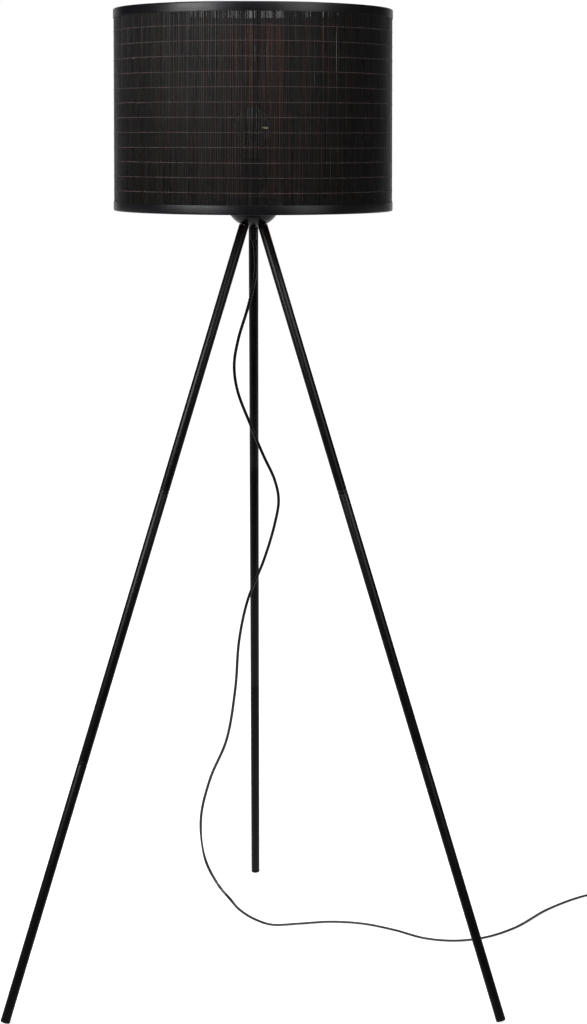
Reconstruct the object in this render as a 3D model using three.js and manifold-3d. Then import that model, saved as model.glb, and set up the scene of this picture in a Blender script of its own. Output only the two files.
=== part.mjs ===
// A black tripod floor lamp with a drum shade of stitched reeds.
// Millimetres, +Z up, the floor at zero. The single leg stands at the back, on +Y.
import * as THREE from "three";
import { mergeVertices } from "three/addons/utils/BufferGeometryUtils.js";
import Module from "manifold-3d";

const wasm = await Module();
wasm.setup();

// General clearances and counts
const seatGap = 0.3;
const cutOverrun = 4;
const shadeSegments = 48;
const tubeSegments = 16;
const turnedSegments = 20;

// Tripod
const legTubeDiameter = 16;
const legTubeWall = 1.2;
const footCircleRadius = 471;
const legApexHeight = 1339;
const upperTubeLength = 454;
const middleTubeLength = 459;
const lowerTubeLength = 438.110746;
const legNames = ["right", "rear", "left"];
const firstLegDegrees = -30;
const turnDegrees = 360;

// Joint piece between two leg tubes
const collarHeight = 5;
const spigotLength = 25;

// Foot cap
const footFlangeHeight = 3.5;
const footPlugLength = 16;
const footFlatDepth = 0.9;

// Stud and nut that hold each leg to the bowl
const studDiameter = 8;
const studPlugLength = 20;
const studEndPastNut = 1.5;
const studHoleClearance = 0.5;
const nutCornerRadius = 7.5;
const nutHeight = 6.5;

// Hub bowl and its cover
const bowlRadius = 46.5;
const bowlWall = 1.6;
const bowlCentreBelowApex = 7;
const bowlSegments = 32;
const bowlArcSteps = 7;
const coverThickness = 2;

// Threaded tube through the hub, its nut and the cord grip below
const nippleDiameter = 10;
const nippleBore = 7;
const nippleEndInHolder = 9;
const nippleNutCornerRadius = 8.1;
const nippleNutHeight = 4;
const gripLength = 20;
const gripTopDiameter = 12.8;
const gripEndDiameter = 11.4;
const gripThreadDepth = 12;
const gripCordBore = 5.8;

// Lampholder for a 27 mm screw bulb
const holderCapHeight = 20;
const holderCapFootRadius = 9;
const holderCapConeHeight = 12;
const holderCapWall = 2.2;
const holderCapFloor = 3.5;
const holderThreadRadius = 19.5;
const holderFlangeRadius = 22.5;
const holderFlangeHeight = 4;
const holderBodyHeight = 38;
const holderBodyWall = 3;
const holderLedgeWidth = 1.5;
const holderLedgeHeight = 1.7;
const insertHeight = 8;
const screwShellOuterRadius = 14.5;
const screwShellWall = 0.6;
const screwShellHeight = 22;
const contactRadius = 3;
const contactHeight = 2.5;

// Bulb
const bulbLength = 106;
const bulbRadius = 30;
const bulbCapRadius = 13.5;
const bulbCapHeight = 22;
const bulbTipRadius = 5;
const bulbTipHeight = 2;
const bulbInsulatorHeight = 2.5;
const bulbNeckRadius = 13;
const bulbGlassWall = 1.2;

// Ring that clamps the shade on the lampholder
const clampRingHeight = 7;
const clampRingRadius = 28;
const clampRingFluteDepth = 0.7;
const clampRingFlutes = 20;
const threadClearance = 0.35;

// Spider that carries the shade
const spiderRingRadius = 30;
const spiderRingThickness = 2;
const spiderRingClearance = 0.7;
const spiderArmDiameter = 4;
const spiderArmFlatLength = 30;
const spiderArmEndLength = 8;
const spiderRise = 50.5;
const spiderArmSides = 6;
const spiderArmSteps = 10;

// Drum shade
const shadeHeight = 320;
const shadeTopRadius = 225.4;
const shadeBottomRadius = 228.4;
const reedThickness = 2;
const bandTape = 0.6;
const bandHeight = 14.5;
const bandFoldHeight = 8;
const wireDiameter = 3.5;
const wireSides = 5;
const wireStartAngle = Math.PI / wireSides;

// Rows of thread stitched round the reeds
const threadRows = 12;
const threadSpacing = 22.85;
const firstThreadBelowTop = 35.4;
const threadProud = 0.6;
const threadHeight = 1.1;
const seamThreadWidth = 1.6;
const seamThreadProud = 0.45;
const seamAngle = Math.PI / 2;

// Flat twin cord
const cordWidth = 5.2;
const cordThickness = 3.4;
const cordSides = 8;
const cordSteps = 78;
const cordLinkSteps = 4;
const cordRestHeight = 2.9;

// Foot switch on the cord, its axis along Y
const switchX = 690;
const switchY = 245;
const switchLength = 66;
const switchWidth = 42;
const switchBaseHeight = 4;
const switchCoverHeight = 16;
const switchWall = 2.5;
const switchEdge = 2;
const switchGlandLength = 20;
const switchGlandRadius = 4.8;
const switchGlandEndRadius = 3.6;
const switchGlandHeight = 9.4;
const buttonRadius = 13;
const buttonClearance = 0.4;
const buttonFlangeRadius = 16;
const buttonFlangeHeight = 3;
const buttonProud = 5;
const buttonEdge = 1.5;

// Coil of put-away cord, and its tie
const coilLeadLength = 37;
const coilOuterRadius = 31;
const coilTurnPitch = 4.2;
const coilTurnsPerLayer = 1.5;
const coilClimbTurns = 0.5;
const coilClimbDip = 1.2;
const coilLayerGap = 0.6;
const coilStepsPerTurn = 24;
const coilSides = 6;
const coilRestHeight = 3.9;
const tieThickness = 0.8;
const tieWidth = 4;
const tieGap = 0.4;

// Two-pin plug, its axis along Y
const plugLeadLength = 36;
const plugLength = 36;
const plugWidth = 35;
const plugThickness = 14;
const plugEdge = 1.5;
const plugReliefLength = 24;
const plugReliefStartRadius = 3.6;
const plugReliefEndRadius = 4.8;
const plugReliefOverlap = 4;
const pinDiameter = 4;
const pinLength = 19;
const pinSpacing = 18.6;

// Finishes: colour, roughness and metalness
const finish = (color, roughness, metalness = 0) =>
  new THREE.MeshStandardMaterial({ color, roughness, metalness });
const reedStain = finish(0x2a211f, 0.75);
const blackTape = finish(0x17161a, 0.4);
const blackWire = finish(0x18181a, 0.45, 0.6);
const darkThread = finish(0x4a3333, 0.85);
const blackPowderCoat = finish(0x141415, 0.5, 0.3);
const blackPlastic = finish(0x0f0f10, 0.45);
const zincSteel = finish(0xa8aaad, 0.35, 0.9);
const brass = finish(0xb9985a, 0.35, 0.9);
const whiteCeramic = finish(0xe6e2da, 0.5);
const frostedGlass = finish(0xf4f2ec, 0.4);
const blackFlex = finish(0x101011, 0.5);
const blackRubber = finish(0x121212, 0.8);

// Turns a closed outline of [radius, height] points, outer side rising, about the Z axis.
function turned(outline, segments = turnedSegments) {
  const points = outline.map(([radius, height]) => new THREE.Vector2(radius, height));
  return new THREE.LatheGeometry(points, segments).rotateX(Math.PI / 2);
}

// A closed ring of rectangular section between two radii and two heights.
function ring(innerRadius, outerRadius, low, high, segments = turnedSegments) {
  return turned(
    [
      [innerRadius, low],
      [outerRadius, low],
      [outerRadius, high],
      [innerRadius, high],
      [innerRadius, low],
    ],
    segments,
  );
}

// A solid round bar standing on the Z axis between two heights.
function bar(radius, low, high, segments = turnedSegments) {
  return new THREE.CylinderGeometry(radius, radius, high - low, segments)
    .rotateX(Math.PI / 2)
    .translate(0, 0, (low + high) / 2);
}

// A box from one corner to the opposite one.
function block(low, high) {
  const size = high.clone().sub(low);
  const centre = high.clone().add(low).multiplyScalar(1 / 2);
  return new THREE.BoxGeometry(size.x, size.y, size.z).translate(centre.x, centre.y, centre.z);
}

// A geometry as a manifold-3d solid.
function solid(geometry) {
  const bare = geometry.index ? geometry.clone() : geometry;
  bare.deleteAttribute("normal");
  bare.deleteAttribute("uv");
  const merged = mergeVertices(bare, 1e-4);
  return new wasm.Manifold(
    new wasm.Mesh({
      numProp: 3,
      vertProperties: new Float32Array(merged.attributes.position.array),
      triVerts: new Uint32Array(merged.index.array),
    }),
  );
}

// A manifold-3d solid as a geometry.
function surface(body) {
  const shape = body.getMesh();
  const stride = shape.numProp;
  const places = new Float32Array(shape.numVert * 3);
  for (let i = 0; i < shape.numVert; i += 1) {
    places.set(shape.vertProperties.subarray(i * stride, i * stride + 3), i * 3);
  }
  const geometry = new THREE.BufferGeometry();
  geometry.setAttribute("position", new THREE.BufferAttribute(places, 3));
  geometry.setIndex(new THREE.BufferAttribute(new Uint32Array(shape.triVerts), 1));
  geometry.computeVertexNormals();
  return geometry;
}

const cut = (body, cutters) =>
  surface(cutters.reduce((left, cutter) => left.subtract(solid(cutter)), solid(body)));
const join = (pieces) =>
  surface(pieces.map(solid).reduce((whole, piece) => whole.add(piece)));

function named(name, geometry, material) {
  const mesh = new THREE.Mesh(geometry, material);
  mesh.name = name;
  return mesh;
}

// A round section for a wire or cord carried along a path.
function roundSection(radius, sides) {
  const shape = new THREE.Shape();
  for (let i = 0; i < sides; i += 1) {
    const angle = ((i + 1 / 2) * 2 * Math.PI) / sides;
    const [x, y] = [radius * Math.cos(angle), radius * Math.sin(angle)];
    if (i === 0) shape.moveTo(x, y);
    else shape.lineTo(x, y);
  }
  shape.closePath();
  return shape;
}

function alongPath(points, radius, sides, steps) {
  const path = new THREE.CatmullRomCurve3(points, false, "centripetal");
  return new THREE.ExtrudeGeometry(roundSection(radius, sides), {
    steps,
    extrudePath: path,
    curveSegments: 1,
  });
}

// The legs stand evenly round the axis.
const legAngles = legNames.map((name, i) =>
  THREE.MathUtils.degToRad(firstLegDegrees + (i * turnDegrees) / legNames.length),
);

// The leg's own line: distances are measured down it from the apex where the three meet.
const legTubeRadius = legTubeDiameter / 2;
const legBoreRadius = legTubeRadius - legTubeWall;
const legTilt = Math.atan2(footCircleRadius, legApexHeight);
const bowlInnerRadius = bowlRadius - bowlWall;
const bowlCentreHeight = legApexHeight - bowlCentreBelowApex;

// How far down the leg's line a sphere round the bowl's centre meets a disc of some radius.
function distanceToSphere(sphereRadius, discRadius) {
  const offLine = bowlCentreBelowApex * Math.sin(legTilt);
  const reach = sphereRadius ** 2 - (discRadius + offLine) ** 2;
  return bowlCentreBelowApex * Math.cos(legTilt) + Math.sqrt(reach);
}

const legTop = distanceToSphere(bowlRadius + seatGap, 0);
const legEnd =
  (legApexHeight - legTubeRadius * Math.sin(legTilt) + footFlatDepth) / Math.cos(legTilt);
const lowerTubeEnd = legEnd - footFlangeHeight - seatGap;

// The three tubes fill the leg in the proportion of their lengths, so that all follow its height.
const jointLength = seatGap + collarHeight + seatGap;
const tubeRun = lowerTubeEnd - legTop - 2 * jointLength;
const tubeFillShare = tubeRun / (upperTubeLength + middleTubeLength + lowerTubeLength);
const upperTubeEnd = legTop + upperTubeLength * tubeFillShare;
const upperJoint = upperTubeEnd + seatGap;
const middleTubeTop = upperTubeEnd + jointLength;
const middleTubeEnd = middleTubeTop + middleTubeLength * tubeFillShare;
const lowerJoint = middleTubeEnd + seatGap;
const lowerTubeTop = middleTubeEnd + jointLength;
const plugRadius = legBoreRadius - seatGap;
const nutLow = distanceToSphere(bowlInnerRadius - seatGap, nutCornerRadius);
const nutHigh = nutLow - nutHeight;

// A leg tube between two distances down the leg's line.
const legTube = (start, end) =>
  ring(legBoreRadius, legTubeRadius, -end, -start, tubeSegments);

// Collar between two tubes, with a spigot up and a spigot down inside them.
function jointPiece(start) {
  const high = -start;
  const low = high - collarHeight;
  return turned(
    [
      [0, low - spigotLength],
      [plugRadius, low - spigotLength],
      [plugRadius, low],
      [legTubeRadius, low],
      [legTubeRadius, high],
      [plugRadius, high],
      [plugRadius, high + spigotLength],
      [0, high + spigotLength],
    ],
    tubeSegments,
  );
}

// Plug pressed into the top tube, with the stud that goes up through the bowl.
function legStud() {
  const face = -legTop;
  return turned(
    [
      [0, face - studPlugLength],
      [plugRadius, face - studPlugLength],
      [plugRadius, face],
      [studDiameter / 2, face],
      [studDiameter / 2, -nutHigh + studEndPastNut],
      [0, -nutHigh + studEndPastNut],
    ],
    tubeSegments,
  );
}

// Six-sided nut round a thread, between two heights.
function hexNut(threadRadius, cornerRadius, low, high) {
  const sides = 6;
  const holeRadius = (threadRadius + seatGap) / Math.cos(Math.PI / sides);
  return ring(holeRadius, cornerRadius, low, high, sides);
}

// Foot cap cut flat where the lowest edge meets the floor.
function footCap(legMatrix) {
  const cap = turned(
    [
      [0, -legEnd],
      [legTubeRadius, -legEnd],
      [legTubeRadius, -legEnd + footFlangeHeight],
      [plugRadius, -legEnd + footFlangeHeight],
      [plugRadius, -legEnd + footFlangeHeight + footPlugLength],
      [0, -legEnd + footFlangeHeight + footPlugLength],
    ],
    tubeSegments,
  );
  const reach = footCircleRadius + legTubeDiameter + cutOverrun;
  const belowFloor = block(
    new THREE.Vector3(-reach, -reach, -legTubeDiameter),
    new THREE.Vector3(reach, reach, 0),
  );
  belowFloor.applyMatrix4(legMatrix.clone().invert());
  return cut(cap, [belowFloor]);
}

function makeLeg(name, azimuth) {
  const turn = new THREE.Group();
  turn.position.z = legApexHeight;
  turn.rotation.z = azimuth;
  const leg = new THREE.Group();
  leg.rotation.y = -legTilt;
  turn.add(leg);
  turn.updateMatrixWorld(true);
  leg.add(
    named(`leg_stud_${name}`, legStud(), zincSteel),
    named(
      `leg_nut_${name}`,
      hexNut(studDiameter / 2, nutCornerRadius, -nutLow, -nutHigh),
      zincSteel,
    ),
    named(`leg_upper_tube_${name}`, legTube(legTop, upperTubeEnd), blackPowderCoat),
    named(`leg_upper_joint_${name}`, jointPiece(upperJoint), blackPowderCoat),
    named(`leg_middle_tube_${name}`, legTube(middleTubeTop, middleTubeEnd), blackPowderCoat),
    named(`leg_lower_joint_${name}`, jointPiece(lowerJoint), blackPowderCoat),
    named(`leg_lower_tube_${name}`, legTube(lowerTubeTop, lowerTubeEnd), blackPowderCoat),
    named(`foot_cap_${name}`, footCap(leg.matrixWorld), blackRubber),
  );
  return turn;
}

// Hub: a half-round bowl under a flat cover, with holes for the studs and the threaded tube.
const coverLow = bowlCentreHeight + seatGap;
const coverHigh = coverLow + coverThickness;
const bowlBottom = bowlCentreHeight - bowlRadius;
const gripHigh = bowlBottom - seatGap;
const gripLow = gripHigh - gripLength;
const nippleRadius = nippleDiameter / 2;
const nippleNutLow = coverHigh + seatGap;
const holderLow = nippleNutLow + nippleNutHeight + seatGap;

function hubBowl() {
  const outline = [];
  for (let i = 0; i <= bowlArcSteps; i += 1) {
    const angle = (i / bowlArcSteps - 1) * (Math.PI / 2);
    outline.push([bowlRadius * Math.cos(angle), bowlRadius * Math.sin(angle)]);
  }
  for (let i = bowlArcSteps; i >= 0; i -= 1) {
    const angle = (i / bowlArcSteps - 1) * (Math.PI / 2);
    outline.push([bowlInnerRadius * Math.cos(angle), bowlInnerRadius * Math.sin(angle)]);
  }
  outline[0][0] = 0;
  outline[outline.length - 1][0] = 0;
  const cutters = [
    bar(nippleRadius + seatGap, -bowlRadius - cutOverrun, -bowlInnerRadius + cutOverrun),
  ];
  for (const azimuth of legAngles) {
    const hole = bar(
      studDiameter / 2 + studHoleClearance,
      -legTop - cutOverrun,
      -nutLow + seatGap,
      tubeSegments,
    );
    hole.rotateY(-legTilt);
    hole.rotateZ(azimuth);
    hole.translate(0, 0, bowlCentreBelowApex);
    cutters.push(hole);
  }
  return cut(turned(outline, bowlSegments), cutters);
}

// Cord grip: a tapered sleeve screwed on the threaded tube's lower end.
function cordGrip() {
  const threadRadius = nippleRadius + seatGap;
  return turned([
    [gripCordBore / 2, gripLow],
    [gripEndDiameter / 2, gripLow],
    [gripTopDiameter / 2, gripHigh - gripThreadDepth],
    [gripTopDiameter / 2, gripHigh],
    [threadRadius, gripHigh],
    [threadRadius, gripHigh - gripThreadDepth],
    [gripCordBore / 2, gripHigh - gripThreadDepth],
    [gripCordBore / 2, gripLow],
  ]);
}

function makeHub() {
  const hub = new THREE.Group();
  const bowl = named("hub_bowl", hubBowl(), blackPowderCoat);
  bowl.position.z = bowlCentreHeight;
  const nippleLow = gripHigh - gripThreadDepth + seatGap;
  hub.add(
    bowl,
    named(
      "hub_cover",
      ring(nippleRadius + seatGap, bowlRadius, coverLow, coverHigh, bowlSegments),
      blackPowderCoat,
    ),
    named(
      "hub_nipple",
      ring(nippleBore / 2, nippleRadius, nippleLow, holderLow + nippleEndInHolder),
      zincSteel,
    ),
    named(
      "hub_nipple_nut",
      hexNut(nippleRadius, nippleNutCornerRadius, nippleNutLow, nippleNutLow + nippleNutHeight),
      zincSteel,
    ),
    named("cord_grip", cordGrip(), blackPlastic),
  );
  return hub;
}

// Lampholder: cap, threaded body, ceramic insert, screw shell and centre contact.
const holderBodyLow = holderLow + holderCapHeight + seatGap;
const holderBoreRadius = holderThreadRadius - holderBodyWall;
const holderFlangeHigh = holderBodyLow + holderFlangeHeight;
const insertLow = holderBodyLow + holderLedgeHeight + seatGap;
const insertHigh = insertLow + insertHeight;
const bulbLow = insertHigh + seatGap + contactHeight + seatGap;

function holderCap() {
  const boreRadius = nippleRadius + seatGap;
  const rim = holderLow + holderCapHeight;
  const innerRadius = holderThreadRadius - holderCapWall;
  return turned([
    [boreRadius, holderLow],
    [holderCapFootRadius, holderLow],
    [holderThreadRadius, holderLow + holderCapConeHeight],
    [holderThreadRadius, rim],
    [innerRadius, rim],
    [innerRadius, holderLow + holderCapConeHeight],
    [boreRadius + holderCapWall, holderLow + holderCapFloor],
    [boreRadius, holderLow + holderCapFloor],
    [boreRadius, holderLow],
  ]);
}

function holderBody() {
  const ledgeRadius = holderBoreRadius - holderLedgeWidth;
  const ledgeHigh = holderBodyLow + holderLedgeHeight;
  const rim = holderBodyLow + holderBodyHeight;
  return turned([
    [ledgeRadius, holderBodyLow],
    [holderFlangeRadius, holderBodyLow],
    [holderFlangeRadius, holderFlangeHigh],
    [holderThreadRadius, holderFlangeHigh],
    [holderThreadRadius, rim],
    [holderBoreRadius, rim],
    [holderBoreRadius, ledgeHigh],
    [ledgeRadius, ledgeHigh],
    [ledgeRadius, holderBodyLow],
  ]);
}

function makeLampholder() {
  const holder = new THREE.Group();
  const shellLow = insertHigh + seatGap;
  holder.add(
    named("lampholder_cap", holderCap(), blackPlastic),
    named("lampholder_body", holderBody(), blackPlastic),
    named(
      "lampholder_insert",
      bar(holderBoreRadius - seatGap, insertLow, insertHigh),
      whiteCeramic,
    ),
    named(
      "lampholder_screw_shell",
      ring(
        screwShellOuterRadius - screwShellWall,
        screwShellOuterRadius,
        shellLow,
        shellLow + screwShellHeight,
      ),
      brass,
    ),
    named(
      "lampholder_contact",
      bar(contactRadius, insertHigh + seatGap, insertHigh + seatGap + contactHeight),
      brass,
    ),
  );
  return holder;
}

// Bulb: a screw cap with its tip, and the frosted globe above it.
const bulbCapHigh = bulbLow + bulbTipHeight + bulbInsulatorHeight + bulbCapHeight;

function bulbCap() {
  const shoulder = bulbLow + bulbTipHeight;
  return turned([
    [0, bulbLow],
    [bulbTipRadius, bulbLow],
    [bulbTipRadius, shoulder],
    [bulbCapRadius, shoulder + bulbInsulatorHeight],
    [bulbCapRadius, bulbCapHigh],
    [0, bulbCapHigh],
  ]);
}

// The glass envelope: a straight neck, a flare and a round top, open where it meets the cap.
const bulbArcSteps = 6;
const bulbArcStart = -Math.PI / 6;
const bulbNeckShare = 0.2;

function bulbGlobe() {
  const low = bulbCapHigh + seatGap;
  const globeCentre = bulbLow + bulbLength - bulbRadius;
  const neckHigh = low + (globeCentre - low) * bulbNeckShare;
  const side = (inset) => {
    const line = [
      [bulbNeckRadius - inset, low],
      [bulbNeckRadius - inset, neckHigh],
    ];
    for (let i = 0; i <= bulbArcSteps; i += 1) {
      const angle = bulbArcStart + (i / bulbArcSteps) * (Math.PI / 2 - bulbArcStart);
      const radius = bulbRadius - inset;
      line.push([radius * Math.cos(angle), globeCentre + radius * Math.sin(angle)]);
    }
    line[line.length - 1][0] = 0;
    return line;
  };
  return turned([...side(0), ...side(bulbGlassWall).reverse(), [bulbNeckRadius, low]]);
}

function makeBulb() {
  const bulb = new THREE.Group();
  bulb.add(
    named("bulb_cap", bulbCap(), zincSteel),
    named("bulb_globe", bulbGlobe(), frostedGlass),
  );
  return bulb;
}

// Shade: heights follow the spider ring, which rests on the lampholder's flange.
const spiderRingLow = holderFlangeHigh + seatGap;
const spiderRingHigh = spiderRingLow + spiderRingThickness;
const clampRingLow = spiderRingHigh + seatGap;
const shadeLow = spiderRingLow - spiderRise;
const shadeHigh = shadeLow + shadeHeight;
const tapeStep = bandTape + seatGap;
const wireRadius = wireDiameter / 2;

// Outer radius of the reeds at a height; the drum widens slightly downwards.
function reedRadius(height) {
  const share = (height - shadeLow) / shadeHeight;
  const outside = shadeBottomRadius + (shadeTopRadius - shadeBottomRadius) * share;
  return outside - tapeStep;
}

function reedWall() {
  const low = shadeLow + tapeStep;
  const high = shadeHigh - tapeStep;
  return turned(
    [
      [reedRadius(low) - reedThickness, low],
      [reedRadius(low), low],
      [reedRadius(high), high],
      [reedRadius(high) - reedThickness, high],
      [reedRadius(low) - reedThickness, low],
    ],
    shadeSegments,
  );
}

// Tape folded over an edge of the shade: a U in section, round the reeds and the wire.
// The side is 1 at the top edge and -1 at the bottom edge.
function bandTapeRing(edge, side) {
  const outerEnd = edge - side * bandHeight;
  const innerEnd = edge - side * bandFoldHeight;
  const crease = edge - side * bandTape;
  const fold = reedThickness + wireDiameter + 2 * seatGap;
  const outline = [
    [reedRadius(edge) - fold - bandTape, edge],
    [reedRadius(innerEnd) - fold - bandTape, innerEnd],
    [reedRadius(innerEnd) - fold, innerEnd],
    [reedRadius(crease) - fold, crease],
    [reedRadius(crease) + seatGap, crease],
    [reedRadius(outerEnd) + seatGap, outerEnd],
    [reedRadius(outerEnd) + tapeStep, outerEnd],
    [reedRadius(edge) + tapeStep, edge],
    [reedRadius(edge) - fold - bandTape, edge],
  ];
  return turned(side > 0 ? outline : outline.reverse(), shadeSegments);
}

// The wire rings lie inside the reeds, in the fold of the tape.
const lowWireHeight = shadeLow + tapeStep + wireRadius;
const highWireHeight = shadeHigh - tapeStep - wireRadius;
const wireRingRadius = (height) => reedRadius(height) - reedThickness - seatGap - wireRadius;

function wireRing(height) {
  const outline = [];
  for (let i = 0; i <= wireSides; i += 1) {
    const angle = wireStartAngle + ((i % wireSides) * 2 * Math.PI) / wireSides;
    outline.push([
      wireRingRadius(height) + wireRadius * Math.cos(angle),
      height + wireRadius * Math.sin(angle),
    ]);
  }
  return turned(outline, shadeSegments);
}

// One arm of the spider, from the clamped ring out and down to the lower wire.
function armPoints() {
  const start = spiderRingRadius + seatGap;
  const end = wireRingRadius(lowWireHeight) - wireRadius - seatGap;
  const high = (spiderRingLow + spiderRingHigh) / 2;
  return [
    new THREE.Vector3(start, 0, high),
    new THREE.Vector3(start + spiderArmFlatLength / 2, 0, high),
    new THREE.Vector3(start + spiderArmFlatLength, 0, high - spiderArmDiameter / 2),
    new THREE.Vector3(end - 2 * spiderArmEndLength, 0, lowWireHeight + spiderArmDiameter / 2),
    new THREE.Vector3(end - spiderArmEndLength, 0, lowWireHeight),
    new THREE.Vector3(end, 0, lowWireHeight),
  ];
}

// Notches in the folded edge of the lower tape, where the three arms reach the wire.
function lowerBand() {
  const reach = wireRingRadius(lowWireHeight) - wireRadius;
  const half = spiderArmDiameter / 2 + seatGap + seatGap;
  const cutters = legAngles.map((azimuth) =>
    block(
      new THREE.Vector3(reach - spiderArmEndLength, -half, lowWireHeight - half),
      new THREE.Vector3(reach, half, shadeLow + bandFoldHeight + cutOverrun),
    ).rotateZ(azimuth),
  );
  return cut(bandTapeRing(shadeLow, -1), cutters);
}

// Twelve rows of thread on the outside of the reeds, with the vertical thread of the seam.
function stitchThreads() {
  const rowHeight = (row) => shadeHigh - firstThreadBelowTop - row * threadSpacing;
  const rows = [];
  for (let row = 0; row < threadRows; row += 1) {
    const low = rowHeight(row) - threadHeight / 2;
    const high = rowHeight(row) + threadHeight / 2;
    rows.push(
      turned(
        [
          [reedRadius(low) + seatGap, low],
          [reedRadius(rowHeight(row)) + seatGap + threadProud, rowHeight(row)],
          [reedRadius(high) + seatGap, high],
          [reedRadius(low) + seatGap, low],
        ],
        shadeSegments,
      ),
    );
  }
  const low = rowHeight(threadRows - 1);
  const high = rowHeight(0);
  const lean = Math.atan2(reedRadius(low) - reedRadius(high), high - low);
  const seam = block(
    new THREE.Vector3(seatGap, -seamThreadWidth / 2, (low - high) / 2),
    new THREE.Vector3(seatGap + seamThreadProud, seamThreadWidth / 2, (high - low) / 2),
  );
  seam.rotateY(-lean);
  seam.translate((reedRadius(low) + reedRadius(high)) / 2, 0, (low + high) / 2);
  seam.rotateZ(seamAngle);
  return join([...rows, seam]);
}

// Ring nut with a fluted edge that clamps the spider on the lampholder.
function clampRing() {
  const outline = new THREE.Shape();
  for (let i = 0; i < 2 * clampRingFlutes; i += 1) {
    const angle = (i * Math.PI) / clampRingFlutes;
    const radius = clampRingRadius - (i % 2) * clampRingFluteDepth;
    const [x, y] = [radius * Math.cos(angle), radius * Math.sin(angle)];
    if (i === 0) outline.moveTo(x, y);
    else outline.lineTo(x, y);
  }
  outline.closePath();
  const hole = new THREE.Path();
  hole.absarc(0, 0, holderThreadRadius + threadClearance, 0, 2 * Math.PI, true);
  outline.holes.push(hole);
  return new THREE.ExtrudeGeometry(outline, {
    depth: clampRingHeight,
    bevelEnabled: false,
    curveSegments: turnedSegments,
  }).translate(0, 0, clampRingLow);
}

function makeShade() {
  const shade = new THREE.Group();
  shade.add(
    named("shade_reed_wall", reedWall(), reedStain),
    named("shade_top_band", bandTapeRing(shadeHigh, 1), blackTape),
    named("shade_bottom_band", lowerBand(), blackTape),
    named("shade_top_wire", wireRing(highWireHeight), blackWire),
    named("shade_bottom_wire", wireRing(lowWireHeight), blackWire),
    named("shade_stitch_threads", stitchThreads(), darkThread),
    named(
      "spider_ring",
      ring(
        holderThreadRadius + spiderRingClearance,
        spiderRingRadius,
        spiderRingLow,
        spiderRingHigh,
      ),
      blackWire,
    ),
    named("shade_clamp_ring", clampRing(), blackPlastic),
  );
  for (const [i, name] of legNames.entries()) {
    const arm = named(
      `spider_arm_${name}`,
      alongPath(armPoints(), spiderArmDiameter / 2, spiderArmSides, spiderArmSteps),
      blackWire,
    );
    arm.rotation.z = legAngles[i];
    shade.add(arm);
  }
  return shade;
}

// The cord's route from the grip to the foot switch: it hangs in loose waves in front of the
// rear leg, lands behind the lamp's centre and runs along the floor past the right leg.
const switchEntryY = switchY + switchLength / 2 + switchGlandLength;
const switchExitY = switchY - switchLength / 2 - switchGlandLength;
const cordRoute = [
  [0, 0, gripLow - seatGap],
  [3, 3, 1247],
  [3, 9, 1208],
  [-8, 22, 1157],
  [-26, 42, 1096],
  [-33, 58, 1052],
  [-28, 75, 1007],
  [-6, 101, 944],
  [16, 122, 888],
  [36, 140, 841],
  [43, 154, 803],
  [36, 170, 756],
  [17, 194, 687],
  [-12, 217, 609],
  [-28, 240, 529],
  [-36, 268, 428],
  [-53, 295, 323],
  [-85, 316, 239],
  [-103, 333, 154],
  [-95, 340, 72],
  [-70, 331, 24],
  [-48, 308, 5.6],
  [-28, 257, cordRestHeight],
  [3, 207, cordRestHeight],
  [33, 183, cordRestHeight],
  [81, 188, cordRestHeight],
  [141, 197, cordRestHeight],
  [200, 187, cordRestHeight],
  [256, 156, cordRestHeight],
  [309, 116, cordRestHeight],
  [363, 104, cordRestHeight],
  [418, 119, cordRestHeight],
  [478, 165, cordRestHeight],
  [549, 254, cordRestHeight],
  [612, 312, cordRestHeight],
  [648, 334, cordRestHeight],
  [672, 336, 3.6],
  [687, 322, 7],
  [switchX, switchEntryY + 2 * cordWidth, switchGlandHeight],
  [switchX, switchEntryY + seatGap, switchGlandHeight],
].map(([x, y, z]) => new THREE.Vector3(x, y, z));

// Foot switch: a stadium-shaped base and cover, with a round push button.
function stadium(length, width) {
  const shape = new THREE.Shape();
  const radius = width / 2;
  const straight = length / 2 - radius;
  shape.absarc(0, straight, radius, 0, Math.PI, false);
  shape.absarc(0, -straight, radius, Math.PI, 2 * Math.PI, false);
  shape.closePath();
  return shape;
}

function slab(shape, low, high, edge) {
  return new THREE.ExtrudeGeometry(shape, {
    depth: high - low - 2 * edge,
    bevelEnabled: edge > 0,
    bevelThickness: edge,
    bevelSize: edge,
    bevelOffset: -edge,
    bevelSegments: 1,
    curveSegments: 8,
  }).translate(0, 0, low + edge);
}

const switchCoverLow = switchBaseHeight + seatGap;
const switchCoverHigh = switchCoverLow + switchCoverHeight;
const switchCavityHigh = switchCoverHigh - switchWall;

function switchCover() {
  const outside = slab(
    stadium(switchLength, switchWidth),
    switchCoverLow,
    switchCoverHigh,
    switchEdge,
  );
  const [bodyEnd, glandEnd] = [switchLength / 2, switchLength / 2 + switchGlandLength];
  const glands = turned([
    [0, -glandEnd],
    [switchGlandEndRadius, -glandEnd],
    [switchGlandRadius, -bodyEnd],
    [switchGlandRadius, bodyEnd],
    [switchGlandEndRadius, glandEnd],
    [0, glandEnd],
  ])
    .rotateX(Math.PI / 2)
    .translate(0, 0, switchGlandHeight);
  const cavity = slab(
    stadium(switchLength - 2 * switchWall, switchWidth - 2 * switchWall),
    switchCoverLow - cutOverrun,
    switchCavityHigh,
    0,
  );
  const hole = bar(
    buttonRadius + buttonClearance,
    switchCavityHigh - cutOverrun,
    switchCoverHigh + cutOverrun,
  );
  return cut(join([outside, glands]), [cavity, hole]);
}

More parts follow.
